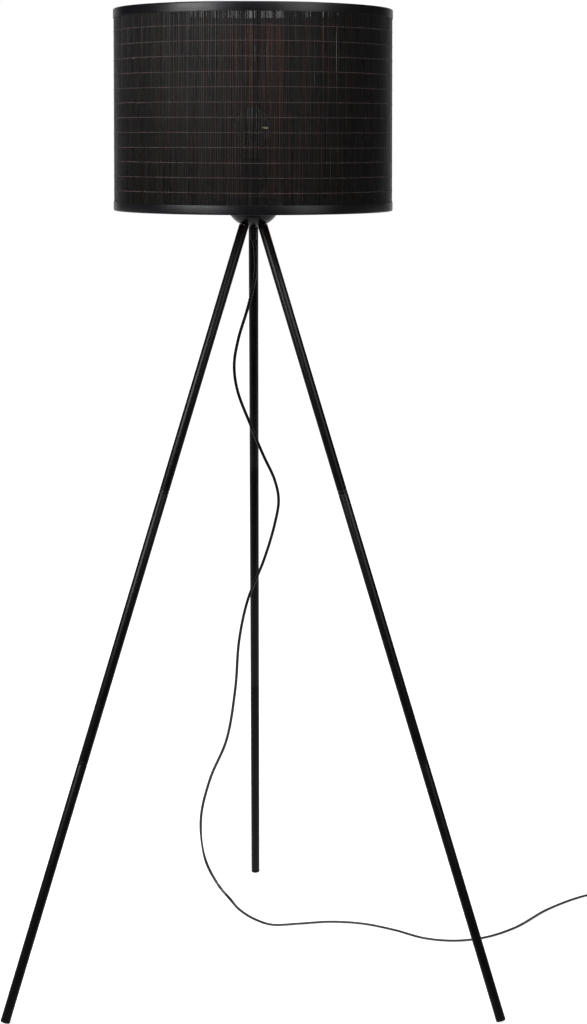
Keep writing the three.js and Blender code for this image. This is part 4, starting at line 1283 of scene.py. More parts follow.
@dataclass
class FootSwitch(Maker):
    """The oval foot switch: base, cover with two sleeves for the cord, and a round ribbed button."""

    columns: int = 96
    edge: float = 4.0 * MM
    base_edge: float = 1.2 * MM
    base_lip: float = 0.4 * MM
    wall: float = 2.5 * MM
    well: float = 13.4 * MM
    well_margin: float = 3.0 * MM
    well_lip: float = 0.3 * MM
    sleeve_root: float = 4.0 * MM
    sleeve_radius: float = 4.8 * MM
    sleeve_taper: float = 1.2 * MM
    sleeve_bore: float = 2.9 * MM
    sleeve_ribs: int = 5
    sleeve_rib_depth: float = 0.28 * MM
    cord_half_width: float = 2.6 * MM
    button_radius: float = 13 * MM
    button_flange: float = 3 * MM
    button_ridges: int = 4
    ridge_depth: float = 0.35 * MM
    dome: float = 1.2 * MM

    def build(self) -> list[bpy.types.Object]:
        """Makes the base, the cover and the button."""
        return [self.base(), self.cover(), self.button()]

    def ring(self, inset: float, height: float) -> Grid:
        """The switch's outline at a height, drawn in by an inset."""
        base = Box.of("switch_base")
        outline = stadium(base.length - 2 * inset, base.width - 2 * inset, self.columns)
        return np.column_stack([outline, np.full(self.columns, height)])

    def base(self) -> bpy.types.Object:
        """The flat base: stadiums drawn in at its lower and upper edges."""
        box = Box.of("switch_base")
        low, high = box.low.z, box.high.z
        corners = [(self.edge, low), (0, low), (0, high), (self.edge, high)]
        profile = rounded(corners, [0, self.base_edge, self.base_lip, 0])
        grid = np.stack([self.ring(*row) for row in profile]) + np.array([*box.centre.xy, 0])
        return self.piece("switch_base", Shell().add(grid), self.looks.plastic)

    def cover(self) -> bpy.types.Object:
        """The cover: a stadium shell with a round well for the button, and tapered cord sleeves."""
        box = Box.of("switch_cover")
        low, high = box.low.z, box.high.z
        flat = Box.of("switch_base").width / 2 - self.well - self.well_margin
        outside = rounded([(0, low), (0, high), (flat, high + 0.001 * MM)], [0, self.edge, 0])
        under = high - self.wall
        inside = rounded([(flat, under), (self.wall, under), (self.wall, low)], [0, 2 * MM, 0])
        lip = self.well * outward(angles(self.columns) + TURN / self.columns / 2)
        rows = [self.ring(*row) for row in outside]
        for share, height in ((1.02, high), (1.0, high - self.well_lip), (1.0, under)):
            rows.append(lip * share + np.array([0, 0, height]))
        rows += [self.ring(*row) for row in inside]
        shell = Shell().add(np.stack(rows) + np.array([*box.centre.xy, 0]), loop=True)
        for sign in (-1, 1):
            shell.add(self.sleeve(box, sign))
        return self.piece("switch_cover", shell, self.looks.plastic)

    def sleeve(self, cover: Box, sign: int) -> Grid:
        """One ribbed, tapered cord sleeve, bored for the cord.

        Its radius falls along its length, and a row of shallow cosine grooves is cut in it.

        Args:
            cover: The cover's box.
            sign: 1 for the far end and -1 for the near one.

        Returns:
            The sleeve's grid.
        """
        start = Box.of("switch_base").length / 2 - self.sleeve_root
        share = np.linspace(0, 1, 61)
        along = start + (cover.high.y - cover.centre.y - start) * share
        grooves = self.sleeve_rib_depth * ribs((share - 0.25) / 0.6, self.sleeve_ribs)
        radius = self.sleeve_radius - self.sleeve_taper * share - grooves
        bore, outside = self.sleeve_bore, np.column_stack([radius, along])
        grid = turned(np.vstack([[[bore, along[0]]], outside, [[bore, along[-1]]]]), 32)
        height = Box.of("cord_switch_to_coil").high.z - self.cord_half_width
        return grid[..., [0, 2, 1]] * np.array([1, sign, 1]) + np.array([*cover.centre.xy, height])

    def button(self) -> bpy.types.Object:
        """The button: a shallow dome with round ridges, on a hidden flange."""
        box = Box.of("switch_button")
        low, flange, radius = box.low.z, box.radius, self.button_radius
        step, rim = low + self.button_flange, box.high.z - self.dome
        crown = np.linspace(1, 0.03, 40)
        dome = box.high.z - self.dome * crown**2 - self.ridge_depth * ribs(crown / 0.85, self.button_ridges)
        corners = [(flange, low), (flange, step), (radius, step), (radius, rim), (radius * 0.9, rim)]
        edge = rounded(corners, [0, 0, 0, self.dome, 0])
        top = np.column_stack([radius * 0.86 * crown, dome])
        profile = np.vstack([[[flange * 0.3, low]], edge[:-1], top])
        shell = Shell().add(turned(profile, 72, (*box.centre.xy, 0)))
        return self.piece("switch_button", shell, self.looks.plastic, Body.BUTTON)


@dataclass
class CoilTie(Maker):
    """A narrow strap round the bundle of turns, with its end tucked under a small head."""

    strap: float = 0.9 * MM
    corner: float = 2.2 * MM
    head_length: float = 4.4 * MM
    head_width: float = 4.0 * MM
    head_height: float = 1.4 * MM
    head_columns: int = 48

    def build(self) -> bpy.types.Object:
        """Makes the tie: a flat bar carried round a rectangle with rounded corners, and a small head."""
        box = Box.of("coil_tie")
        x, half_width, inset = box.centre.x, box.radius, self.strap / 2
        y0, y1, z0, z1 = box.low.y + inset, box.high.y - inset, box.low.z + inset, box.high.z - inset
        start = ((y0 + y1) / 2, z0)
        corners = [start, (y1, z0), (y1, z1), (y0, z1), (y0, z0), start]
        loop = rounded(corners, [0, *[self.corner] * 4, 0], 7)[:-1]
        way = unit(np.roll(loop, -1, 0) - np.roll(loop, 1, 0))
        bar = rounded([(0, -1), (1, -1), (1, 1), (-1, 1), (-1, -1), (0, -1)], [0, *[0.25] * 4, 0], 3)[:-1]
        path = np.column_stack([np.full(len(loop), x), loop])
        face = np.column_stack([np.zeros(len(loop)), way[:, 1], -way[:, 0]])
        section = bar * np.array([half_width, inset])
        shell = Shell().add(swept(path, np.array([1.0, 0, 0]), face, section), loop=True)
        head = rounded([(0, 0), (0.5, 0), (0.5, 1), (0, 1)], [0, 0.15, 0.15, 0], 4)
        square = stadium(self.head_length, self.head_width, self.head_columns)
        shares, heights = head[1:-1, 0] / head[:, 0].max(), (head[1:-1, 1] - 0.5) * self.head_height
        rows = square * shares[:, None, None]
        flat = np.broadcast_to(heights[:, None], rows.shape[:2])
        grid = np.stack([rows[..., 0], flat, rows[..., 1]], -1)
        shell.add(grid + np.array([x, box.high.y, (z0 + z1) / 2]))
        return self.piece("coil_tie", shell, self.looks.plastic)


@dataclass
class MainsPlug(Maker):
    """The flat two-pin plug: a body that swells from a ribbed strain relief, and two sleeved pins."""

    columns: int = 72
    relief: float = 24 * MM
    relief_radius: float = 3.7 * MM
    relief_ribs: int = 6
    rib_depth: float = 0.45 * MM
    swell_from: float = 0.8
    swell_over: float = 0.75
    nose_share: float = 0.035
    nose_drop: float = 0.07
    squareness: float = 0.42
    pin_sleeve: float = 10 * MM

    def build(self) -> list[bpy.types.Object]:
        """Makes the body and the two pins."""
        return [self.body(), self.pin("plug_pin_left"), self.pin("plug_pin_right")]

    def body(self) -> bpy.types.Object:
        """The body: squared ellipses whose half sizes follow smooth steps along its length."""
        box = Box.of("plug_body")
        share = np.concatenate([np.linspace(0, 0.97, 70), [0.985, 0.995, 1.0]])
        at = share * box.length
        swell = eased((at / self.relief - self.swell_from) / self.swell_over)
        nose = np.clip((share - 1) / self.nose_share + 1, 0, 1)
        front = 1 - self.nose_drop * (1 - np.sqrt(1 - nose**2))
        grooves = self.rib_depth * ribs(at / self.relief / self.swell_from, self.relief_ribs) * (1 - swell)
        spare = -2 * self.relief_radius
        half_x = (self.relief_radius + (box.width + spare) / 2 * swell) * front - grooves
        half_z = (self.relief_radius + (box.high.z - box.low.z + spare) / 2 * swell) * front - grooves
        power = (1 - self.squareness * swell)[:, None]
        across, through = outward(angles(self.columns))[:, :2].T
        x = half_x[:, None] * squared(across, power)
        z = half_z[:, None] * squared(through, power)
        y = np.broadcast_to((box.low.y + at)[:, None], x.shape)
        grid = np.stack([x + box.centre.x, y, z + box.centre.z], -1)
        return self.piece("plug_body", Shell().add(grid), self.looks.plastic)

    def pin(self, node: str) -> bpy.types.Object:
        """One round pin: a moulded sleeve near the body and a bare rounded tip."""
        box = Box.of(node)
        radius, tip = box.radius, box.radius * 0.2
        corners = [(tip, 0), (radius, 0), (radius, box.length), (tip, box.length)]
        grid = turned(rounded(corners, [0, 0, radius * 0.8, 0], 6), 32)[..., [0, 2, 1]]
        start = np.array([box.centre.x, box.low.y, box.centre.z])
        piece = self.piece(node, Shell().add(grid + start), self.looks.steel)
        piece.data.materials.append(self.looks.plastic.material)
        in_sleeve = np.array([p.center.y for p in piece.data.polygons]) < box.low.y + self.pin_sleeve
        piece.data.polygons.foreach_set("material_index", in_sleeve.astype(np.int32))
        return piece


# The shade


@dataclass
class ReedShade(Maker):
    """The drum shade: a mat of split reeds, its stitches, the folded tapes and the wire rings."""

    reeds: int = 560
    thickness: float = 1.1 * MM
    width_spread: float = 0.22
    section_angles: Pair = (0.16, 0.9)
    gap: float = 0.09 * MM
    loose_gap: float = 0.14 * MM
    loose_share: float = 0.03
    rows: int = 9
    wander: float = 0.06 * MM
    sink: float = 0.12 * MM
    bow: float = 0.05 * MM
    uneven_ends: float = 0.3 * MM
    taper_share: float = 0.05
    taper_from: float = 0.35
    slits: tuple[Pair, ...] = ((-90.6, 0.12), (-38.5, 0.03))
    reed_sharp: float = 70.0
    fleck_degrees: float = -85.2
    fleck_height: float = 1.4455
    fleck_length: float = 12 * MM
    fleck_width: float = 1.1 * MM
    fleck_lift: float = 0.25 * MM
    thread_rows: int = 12
    thread_pitch: float = 22.85 * MM
    thread_first: float = 35.4 * MM
    thread_radius: float = 0.33 * MM
    thread_seat: float = 0.12 * MM
    thread_press: float = 0.14 * MM
    thread_rise: float = 0.2 * MM
    thread_stray: float = 0.35 * MM
    points_per_stitch: int = 4
    seam_points: int = 160
    seam_waves: int = 33
    seam_swing: float = 0.5 * MM
    band_height: float = 14.5 * MM
    band_fold: float = 8.0 * MM
    band_tape: float = 0.6 * MM
    band_segments: int = 288
    reed_room: float = 2.0 * MM
    wire_radius: float = 1.75 * MM
    seed: int = 7

    def __post_init__(self) -> None:
        """Reads the shade's edges from the frame."""
        wall, top, bottom = Box.of("shade_reed_wall"), Box.of("shade_top_band"), Box.of("shade_bottom_band")
        self.low, self.high = wall.low.z, wall.high.z
        self.top_outside = top.high.x - self.foot[0]
        self.bottom_outside = bottom.high.x - self.foot[0]
        self.edges = {Side.TOP: top.high.z, Side.BOTTOM: bottom.low.z}

    def radius(self, height: Grid | float) -> Grid | float:
        """The reeds' outer radius at a height: straight between the two bands, less the tape."""
        top, bottom = self.edges[Side.TOP], self.edges[Side.BOTTOM]
        share = (height - bottom) / (top - bottom)
        outside = self.bottom_outside + (self.top_outside - self.bottom_outside) * share
        return outside - self.band_tape - SEAT_GAP

    def build(self) -> None:
        """Makes every piece of the shade."""
        self.mat()
        self.threads()
        for side in Side:
            self.band(side)
            self.wire(side)

    def mat(self) -> None:
        """The mat: oval reeds side by side, each with its own width, taper, lean, depth and tone.

        A reed's section is an oval. Its points go round the drum by the reed's own angle plus their
        offset across it over the radius. The reed wanders a little sideways as a slow sine of the
        height, and its width falls by its taper as a smooth step of the height.
        """
        rng = np.random.default_rng(self.seed)
        width = 1 + self.width_spread * rng.standard_normal(self.reeds).clip(-1.6, 2.2)
        gap = self.gap * rng.uniform(0.75, 1.25, self.reeds)
        loose = rng.random(self.reeds) < self.loose_share
        gap = np.where(loose, self.loose_gap * rng.uniform(0.5, 1.0, self.reeds), gap)
        mean_radius = float(self.radius((self.low + self.high) / 2))
        width = width / width.sum() * (TURN * mean_radius - gap.sum())
        middle = (np.cumsum(width + gap) - gap - width / 2) / mean_radius
        taper = self.taper_share * rng.uniform(-1, 1, self.reeds)
        for degrees, slit_share in self.slits:
            away = (middle - math.radians(degrees) + math.pi) % TURN - math.pi
            taper[np.argmin(np.abs(away))] = slit_share
        corner, crown = self.section_angles
        upper = np.array([corner, crown, math.pi - crown, math.pi - corner])
        sides = np.concatenate([upper, upper + math.pi])
        section_x = np.cos(sides) / 2 / math.cos(corner)
        section_y = (np.sin(sides) / math.sin(crown) - 1) / 2
        thick = self.thickness * rng.uniform(0.82, 1.0, self.reeds)
        height = np.linspace(self.low, self.high, self.rows)
        share = np.linspace(0, 1, self.rows)
        narrow = 1 - taper[:, None] * eased((share - self.taper_from) / self.taper_from)
        phase = rng.uniform(0, TURN, (self.reeds, 1))
        pace = rng.uniform(0.6, 2.2, (self.reeds, 1))
        drift = self.wander * np.sin(phase + pace * TURN * share)
        lift = -self.sink * rng.random((self.reeds, 1)) - self.bow * np.sin(phase * 2 + pace * 5 * share) ** 2
        across = section_x * (width[:, None] * narrow)[..., None] + drift[..., None]
        radius = self.radius(height)[None, :, None] + section_y * thick[:, None, None] + lift[..., None]
        turn = middle[:, None, None] + across / mean_radius
        ends = self.uneven_ends * rng.uniform(-1, 1, (self.reeds, 1))
        grid = outward(turn) * radius[..., None] + self.foot
        grid[..., 2] = (height[None] + ends * (share - 0.5))[..., None]
        tone = np.clip(rng.beta(1.6, 3.4, self.reeds), 0, 1)
        tone = np.broadcast_to(tone[:, None, None], turn.shape)
        backs = np.broadcast_to((np.sin(sides) < 0).astype(float), turn.shape)
        splinter = Shell().add(self.fleck()).make("reed_splinter", self.reed_sharp)
        dressed(splinter, self.looks.bare_reed, Body.SHADE)
        shell = Shell().add(grid, tone=tone, inside=backs)
        self.piece("reed_mat", shell, self.looks.reed, Body.SHADE, "shade_reed_wall", sharp=self.reed_sharp)

    def fleck(self) -> Grid:
        """A pale splinter that has sprung from a reed and lies across its neighbours.

        It is a thin oval carried along a short slanting line, widest at 0.65 of its length.
        """
        share = np.linspace(0, 1, 12)
        half = self.fleck_width * np.sin(math.pi * share**1.6) + 0.08 * MM
        along = (share - 0.5) * self.fleck_length
        turn = math.radians(self.fleck_degrees) + along / float(self.radius(self.fleck_height))
        level = self.fleck_height - 0.12 * along - 0.7 * MM * np.cos(math.pi * (share - 0.5))
        out = outward(turn)
        path = self.foot + out * (self.radius(level) + self.fleck_lift)[:, None]
        path[:, 2] = level
        section = round_section(1.0, 8) * np.array([1.0, 0.22])
        return swept(path, np.array([0, 0, 1.0]), out, section[None] * half[:, None, None])

    def threads(self) -> bpy.types.Object:
        """The stitches: a thread round the outside of each row, pressed in between every two reeds.

        The thread's radius swings by a cosine of the angle, and its height by half of that frequency.
        """
        stitches = self.reeds // 2
        angle = angles(stitches * self.points_per_stitch)
        swing = np.cos(angle * stitches)
        mean = float(self.radius((self.low + self.high) / 2))
        way = ways((angle * mean)[:, None], np.arange(4) / 4 * MM)
        shell = Shell()
        rng = np.random.default_rng(self.seed + 1)
        top = self.edges[Side.TOP] - self.thread_first
        for row in range(self.thread_rows):
            level = top - row * self.thread_pitch
            slow = self.thread_stray * np.sin(angle * 3 + rng.uniform(0, TURN))
            height = level + slow + self.thread_rise * np.sin(angle * stitches / 2 + row)
            radius = self.radius(level) + self.thread_seat + self.thread_press * swing
            shell.add(self.hoop(angle, radius, height, self.thread_radius, 4), loop=True, way=way)
        level = np.linspace(0, 1, self.seam_points)
        tall = top - (self.thread_rows - 1) * self.thread_pitch * level
        wave = self.seam_swing * np.sin(level * TURN * self.seam_waves)
        path = self.foot + np.column_stack([wave, self.radius(tall) + self.thread_seat, tall])
        seam = swept(path, np.array([1.0, 0, 0]), np.array([0, 1.0, 0]), round_section(self.thread_radius, 5))
        shell.add(seam, way=ways(tall[:, None], np.zeros(5)))
        return self.piece(
            "stitch_threads", shell, self.looks.thread, Body.SHADE, "shade_stitch_threads", sharp=180
        )

    def hoop(self, angle: Grid, radius: Grid, height: Grid, thread: float, sides: int) -> Grid:
        """A thin round hoop about the axis whose radius and height follow the angle.

        Args:
            angle: The angles round the axis.
            radius: The radius at each, or one for all.
            height: The height, in the same way.
            thread: The hoop's own radius.
            sides: The sides of its section.

        Returns:
            The grid.
        """
        out = outward(angle)
        path = self.foot + out * np.broadcast_to(radius, angle.shape)[:, None]
        path[:, 2] = height
        return swept(path, out, np.array([0, 0, 1.0]), round_section(thread, sides))

    def band(self, side: Side) -> bpy.types.Object:
        """A tape folded over an edge: a thin U round the reeds and the wire, rolled at the fold."""
        sign, edge, tape = side.value, self.edges[side], self.band_tape
        fold = self.reed_room + 2 * self.wire_radius + 2 * SEAT_GAP
        outer = self.radius(edge) + SEAT_GAP + tape
        inner = self.radius(edge) - fold - tape
        lean = (self.radius(edge - sign * self.band_height) - self.radius(edge)) / self.band_height
        out_end, in_end = self.band_height, self.band_fold
        out_lean, in_lean = lean * out_end, lean * in_end
        start = (outer - tape + out_lean, out_end)
        corners = [
            start, (outer + out_lean, out_end), (outer, 0.0), (inner, 0.0), (inner + in_lean, in_end),
            (inner + tape + in_lean, in_end), (inner + tape, tape), (outer - tape, tape), start,
        ]
        radii = np.array([0, 0.25, 2.2, 2.2, 0.2, 0.2, 1.7, 1.7, 0]) * MM
        profile = rounded(corners, radii, 6)[:-1]
        profile[:, 1] = edge - sign * profile[:, 1]
        angle = angles(self.band_segments)
        ripple = (0.08 * np.sin(angle * 17 + 2 * sign) + 0.056 * np.sin(angle * 41 + sign)) * MM
        depth = np.clip(np.abs(profile[:, 1] - edge) / self.band_height, 0, 1)[:, None]
        grid = turned(profile, self.band_segments, self.foot) + outward(angle) * (ripple * depth)[..., None]
        mean = float(self.radius(edge))
        way = ways(angle * mean, lengths(np.column_stack([profile, profile[:, :1] * 0]))[:, None])
        shell = Shell().add(grid, loop=True, way=way)
        return self.piece(f"shade_{side.name.lower()}_band", shell, self.looks.tape, Body.SHADE, sharp=60)

    def wire(self, side: Side) -> bpy.types.Object:
        """The wire ring that lies in the fold of a tape."""
        height = self.edges[side] - side.value * (self.band_tape + SEAT_GAP + self.wire_radius)
        radius = self.radius(height) - self.reed_room - SEAT_GAP - self.wire_radius
        shell = Shell().add(self.hoop(angles(192), radius, height, self.wire_radius, 12), loop=True)
        return self.piece(f"shade_{side.name.lower()}_wire", shell, self.looks.wire, Body.SHADE, sharp=180)


@dataclass
class Spider(Maker):
    """The ring that sits on the lampholder and the three wire arms that carry the shade."""

    bore: float = 20.2 * MM
    corner: float = 0.5 * MM
    arm_radius: float = 2.0 * MM
    flat: float = 30 * MM
    end: float = 8 * MM
    columns: int = 14

    def build(self) -> None:
        """Makes the ring and the arms."""
        box = Box.of("spider_ring")
        outline = washer(self.bore, box.radius, box.low.z, box.high.z, [self.corner] * 4)
        shell = Shell().add(turned(outline, 96, self.foot), loop=True)
        self.piece("spider_ring", shell, self.looks.wire, Body.SHADE)
        for name, degrees in LEG_AZIMUTHS.items():
            self.arm(name, math.radians(degrees), box.radius + SEAT_GAP, (box.low.z + box.high.z) / 2)

    def arm(self, name: str, azimuth: float, start: float, height: float) -> bpy.types.Object:
        """One arm: level at the ring, then down to the lower wire, level again at its end.

        Args:
            name: The arm's name.
            azimuth: Its direction.
            start: The distance from the axis at which it starts.
            height: The height at which it starts.

        Returns:
            The arm.
        """
        rear = Box.of("spider_arm_rear")
        reach = rear.high.y - self.foot[1]
        bend, end = self.arm_radius, self.end
        low = rear.low.z + bend
        stations = np.array([
            [start, 0, height], [start + self.flat / 2, 0, height], [start + self.flat, 0, height - bend],
            [reach - 2 * end, 0, low + bend], [reach - end, 0, low], [reach, 0, low],
        ])
        path = smooth_curve(stations, 14)
        side = np.array([0, 1.0, 0])
        face = unit(np.cross(tangents(path), side))
        grid = swept(path, side, face, round_section(self.arm_radius, self.columns))
        turn = np.array(Matrix.Rotation(azimuth, 3, "Z"))
        return self.piece(
            f"spider_arm_{name}", Shell().add(grid @ turn.T + self.foot), self.looks.wire, Body.SHADE
        )


# Hub, lampholder and bulb


@dataclass
class Hub(Maker):
    """The half-round bowl that the legs screw into, its cover, the threaded tube and the cord grip."""

    wall: float = 1.6 * MM
    segments: int = 96
    arc_rows: int = 28
    tube_hole: float = 5.4 * MM
    stud_hole: float = 4.4 * MM
    drill_reach: float = 12 * MM
    grip_bore: float = 3.1 * MM
    grip_columns: int = 120
    grip_flutes: int = 30
    grip_flute_depth: float = 0.16 * MM
    collar_share: float = 0.45

    def build(self) -> None:
        """Makes the hub's pieces, and dresses the threaded tube and its nut."""
        self.bowl()
        self.cover()
        self.grip()
        self.bench.dress(self.looks.steel, "hub_nipple", "hub_nipple_nut")

    def bowl(self) -> bpy.types.Object:
        """The bowl: a half sphere outside and inside, joined by a rim, bored for tube and studs."""
        box = Box.of("hub_bowl")
        outer, inner = box.radius, box.radius - self.wall
        outside = np.linspace(math.asin(self.tube_hole / outer), math.pi / 2, self.arc_rows)
        inside = np.linspace(math.pi / 2, math.asin(self.tube_hole / inner), self.arc_rows)
        profile = np.vstack([
            np.column_stack([radius * np.sin(arc), box.high.z - radius * np.cos(arc)])
            for radius, arc in ((outer, outside), (inner, inside))
        ])
        bowl = Shell().add(turned(profile, self.segments, self.foot), loop=True).make("hub_bowl")
        drill = turned([[self.stud_hole, -self.drill_reach], [self.stud_hole, self.drill_reach]], 32)
        for name in LEG_AZIMUTHS:
            line = self.bench.line(f"leg_upper_tube_{name}")
            cutter = Shell().add(leaned(drill, line.start, -line.way)).make(f"drill_{name}")
            boolean = bowl.modifiers.new("stud_hole", "BOOLEAN")
            boolean.operation = "DIFFERENCE"
            boolean.object = cutter
            boolean.solver = "EXACT"
            applied(bowl)
            bpy.data.objects.remove(cutter)
        bowl.data.set_sharp_from_angle(angle=math.radians(40))
        return dressed(bowl, self.looks.enamel, Body.STAND, "hub_bowl")

    def cover(self) -> bpy.types.Object:
        """The flat cover plate with softened edges."""
        box = Box.of("hub_cover")
        radii = [0.6 * MM, 0.9 * MM, 0.2 * MM, 0.2 * MM]
        outline = washer(self.tube_hole, box.radius, box.low.z, box.high.z, radii)
        shell = Shell().add(turned(outline, self.segments, self.foot), loop=True)
        return self.piece("hub_cover", shell, self.looks.enamel)

    def grip(self) -> bpy.types.Object:
        """The cord grip: a knurled collar above a smooth taper with a rounded mouth."""
        box = Box.of("cord_grip")
        low, high, radius, bore = box.low.z, box.high.z, box.radius, self.grip_bore
        mouth = radius - 0.8 * MM
        collar = high - self.collar_share * (high - low)
        start = (bore, low + 2 * MM)
        corners = [
            start, (bore + 0.5 * MM, low), (mouth, low), (mouth + 0.35 * MM, collar - 0.4 * MM),
            (radius, collar), (radius, high), (bore, high), start,
        ]
        outline = rounded(corners, np.array([0, 0.3, 1.3, 0.2, 0.25, 0.5, 0, 0]) * MM)[:-1]
        on_collar = (outline[:, 1] > collar + 0.6 * MM) & (outline[:, 1] < high - 0.7 * MM)
        grid = fluted(turned(outline, self.grip_columns), on_collar, self.grip_flute_depth, self.grip_flutes)
        return self.piece("cord_grip", Shell().add(grid + self.foot, loop=True), self.looks.plastic)


def applied(piece: bpy.types.Object) -> None:
    """Replaces a piece's mesh by what its modifiers make of it, and clears them."""
    graph = bpy.context.evaluated_depsgraph_get()
    mesh = bpy.data.meshes.new_from_object(piece.evaluated_get(graph))
    piece.modifiers.clear()
    piece.data = mesh


@dataclass
class Lampholder(Maker):
    """The black screw lampholder: cap, threaded body, insert, shell and contact, with the clamp ring."""

    thread_pitch: float = 3.6 * MM
    thread_depth: float = 0.7 * MM
    bore: float = 16.5 * MM
    inlet: float = 5.3 * MM
    foot_radius: float = 9 * MM
    cone_height: float = 12 * MM
    cap_wall: float = 2.2 * MM
    cap_floor: float = 3 * MM
    crest: float = 19.5 * MM
    flange: float = 4 * MM
    seat_width: float = 1.5 * MM
    seat_height: float = 1.7 * MM
    brass_wall: float = 0.4 * MM
    brass_thread: float = 0.15 * MM
    ring_bore: float = 19.85 * MM

    def build(self) -> None:
        """Makes the lampholder's pieces, and dresses the ones that hardly show."""
        self.cap()
        self.body()
        self.screw_shell()
        self.clamp_ring()
        self.bench.dress(self.looks.ceramic, "lampholder_insert")
        self.bench.dress(self.looks.brass, "lampholder_contact")

    def cap(self) -> bpy.types.Object:
        """The cap: a cone that opens into a fluted wall."""
        box = Box.of("lampholder_cap")
        low, high, outer = box.low.z, box.high.z, box.radius
        cone, floor, inner = low + self.cone_height, low + self.cap_floor, outer - self.cap_wall
        corners = [
            (self.inlet, low), (self.foot_radius, low), (outer, cone), (outer, high), (inner, high),
            (inner, cone), (self.foot_radius - self.cap_wall, floor), (self.inlet, floor), (self.inlet, low),
        ]
        outline = rounded(corners, np.array([0, 1, 4, 0.6, 0.3, 1, 0, 0, 0]) * MM)[:-1]
        above_cone = (outline[:, 1] > cone) & (outline[:, 1] < high - 1 * MM)
        on_wall = (outline[:, 0] > outer - 0.1 * MM) & above_cone
        grid = fluted(turned(outline, 144), on_wall, 0.3 * MM, 24)
        return self.piece("lampholder_cap", Shell().add(grid + self.foot, loop=True), self.looks.plastic)

    def body(self) -> bpy.types.Object:
        """The body: a flange below an outer screw thread, with a plain bore."""
        box = Box.of("lampholder_body")
        low, high, flange = box.low.z, box.high.z, box.radius
        step, root = low + self.flange, self.crest - self.thread_depth
        seat = self.bore - self.seat_width
        corners = [(seat, low), (flange, low), (flange, step), (root, step)]
        bottom = rounded(corners, [0, 0.6 * MM, 0.6 * MM, 0])
        thread = threaded(self.crest, step + 0.1 * MM, high - 0.8 * MM, self.thread_pitch, self.thread_depth)
        inside = low + self.seat_height
        rim = [[root - 0.3 * MM, high], [self.bore, high], [self.bore, inside], [seat, inside]]
        columns = thread.shape[1]
        grid = np.concatenate([turned(bottom, columns), thread, turned(rim, columns)])
        return self.piece("lampholder_body", Shell().add(grid + self.foot, loop=True), self.looks.plastic)

    def screw_shell(self) -> bpy.types.Object:
        """The brass screw shell: a thin rolled thread."""
        box = Box.of("lampholder_screw_shell")
        side = threaded(box.radius, box.low.z, box.high.z, self.thread_pitch, self.brass_thread)
        inner = side.copy()[::-1]
        inner[..., :2] *= 1 - self.brass_wall / np.linalg.norm(inner[..., :2], axis=-1, keepdims=True)
        shell = Shell().add(np.concatenate([side, inner]) + self.foot, loop=True)
        return self.piece("screw_shell", shell, self.looks.brass, Body.STAND, "lampholder_screw_shell")

    def clamp_ring(self) -> bpy.types.Object:
        """The ring nut over the spider, with grip flutes round its edge."""
        box = Box.of("shade_clamp_ring")
        radii = [0.8 * MM, 1.2 * MM, 0.5 * MM, 0.3 * MM]
        outline = washer(self.ring_bore, box.radius, box.low.z, box.high.z, radii)
        on_edge = outline[:, 0] > box.radius - 1.5 * MM
        grid = fluted(turned(outline, 160), on_edge, 0.7 * MM, 20, power=2)
        shell = Shell().add(grid + self.foot, loop=True)
        return self.piece("clamp_ring", shell, self.looks.plastic, Body.CLAMP_RING, "shade_clamp_ring")


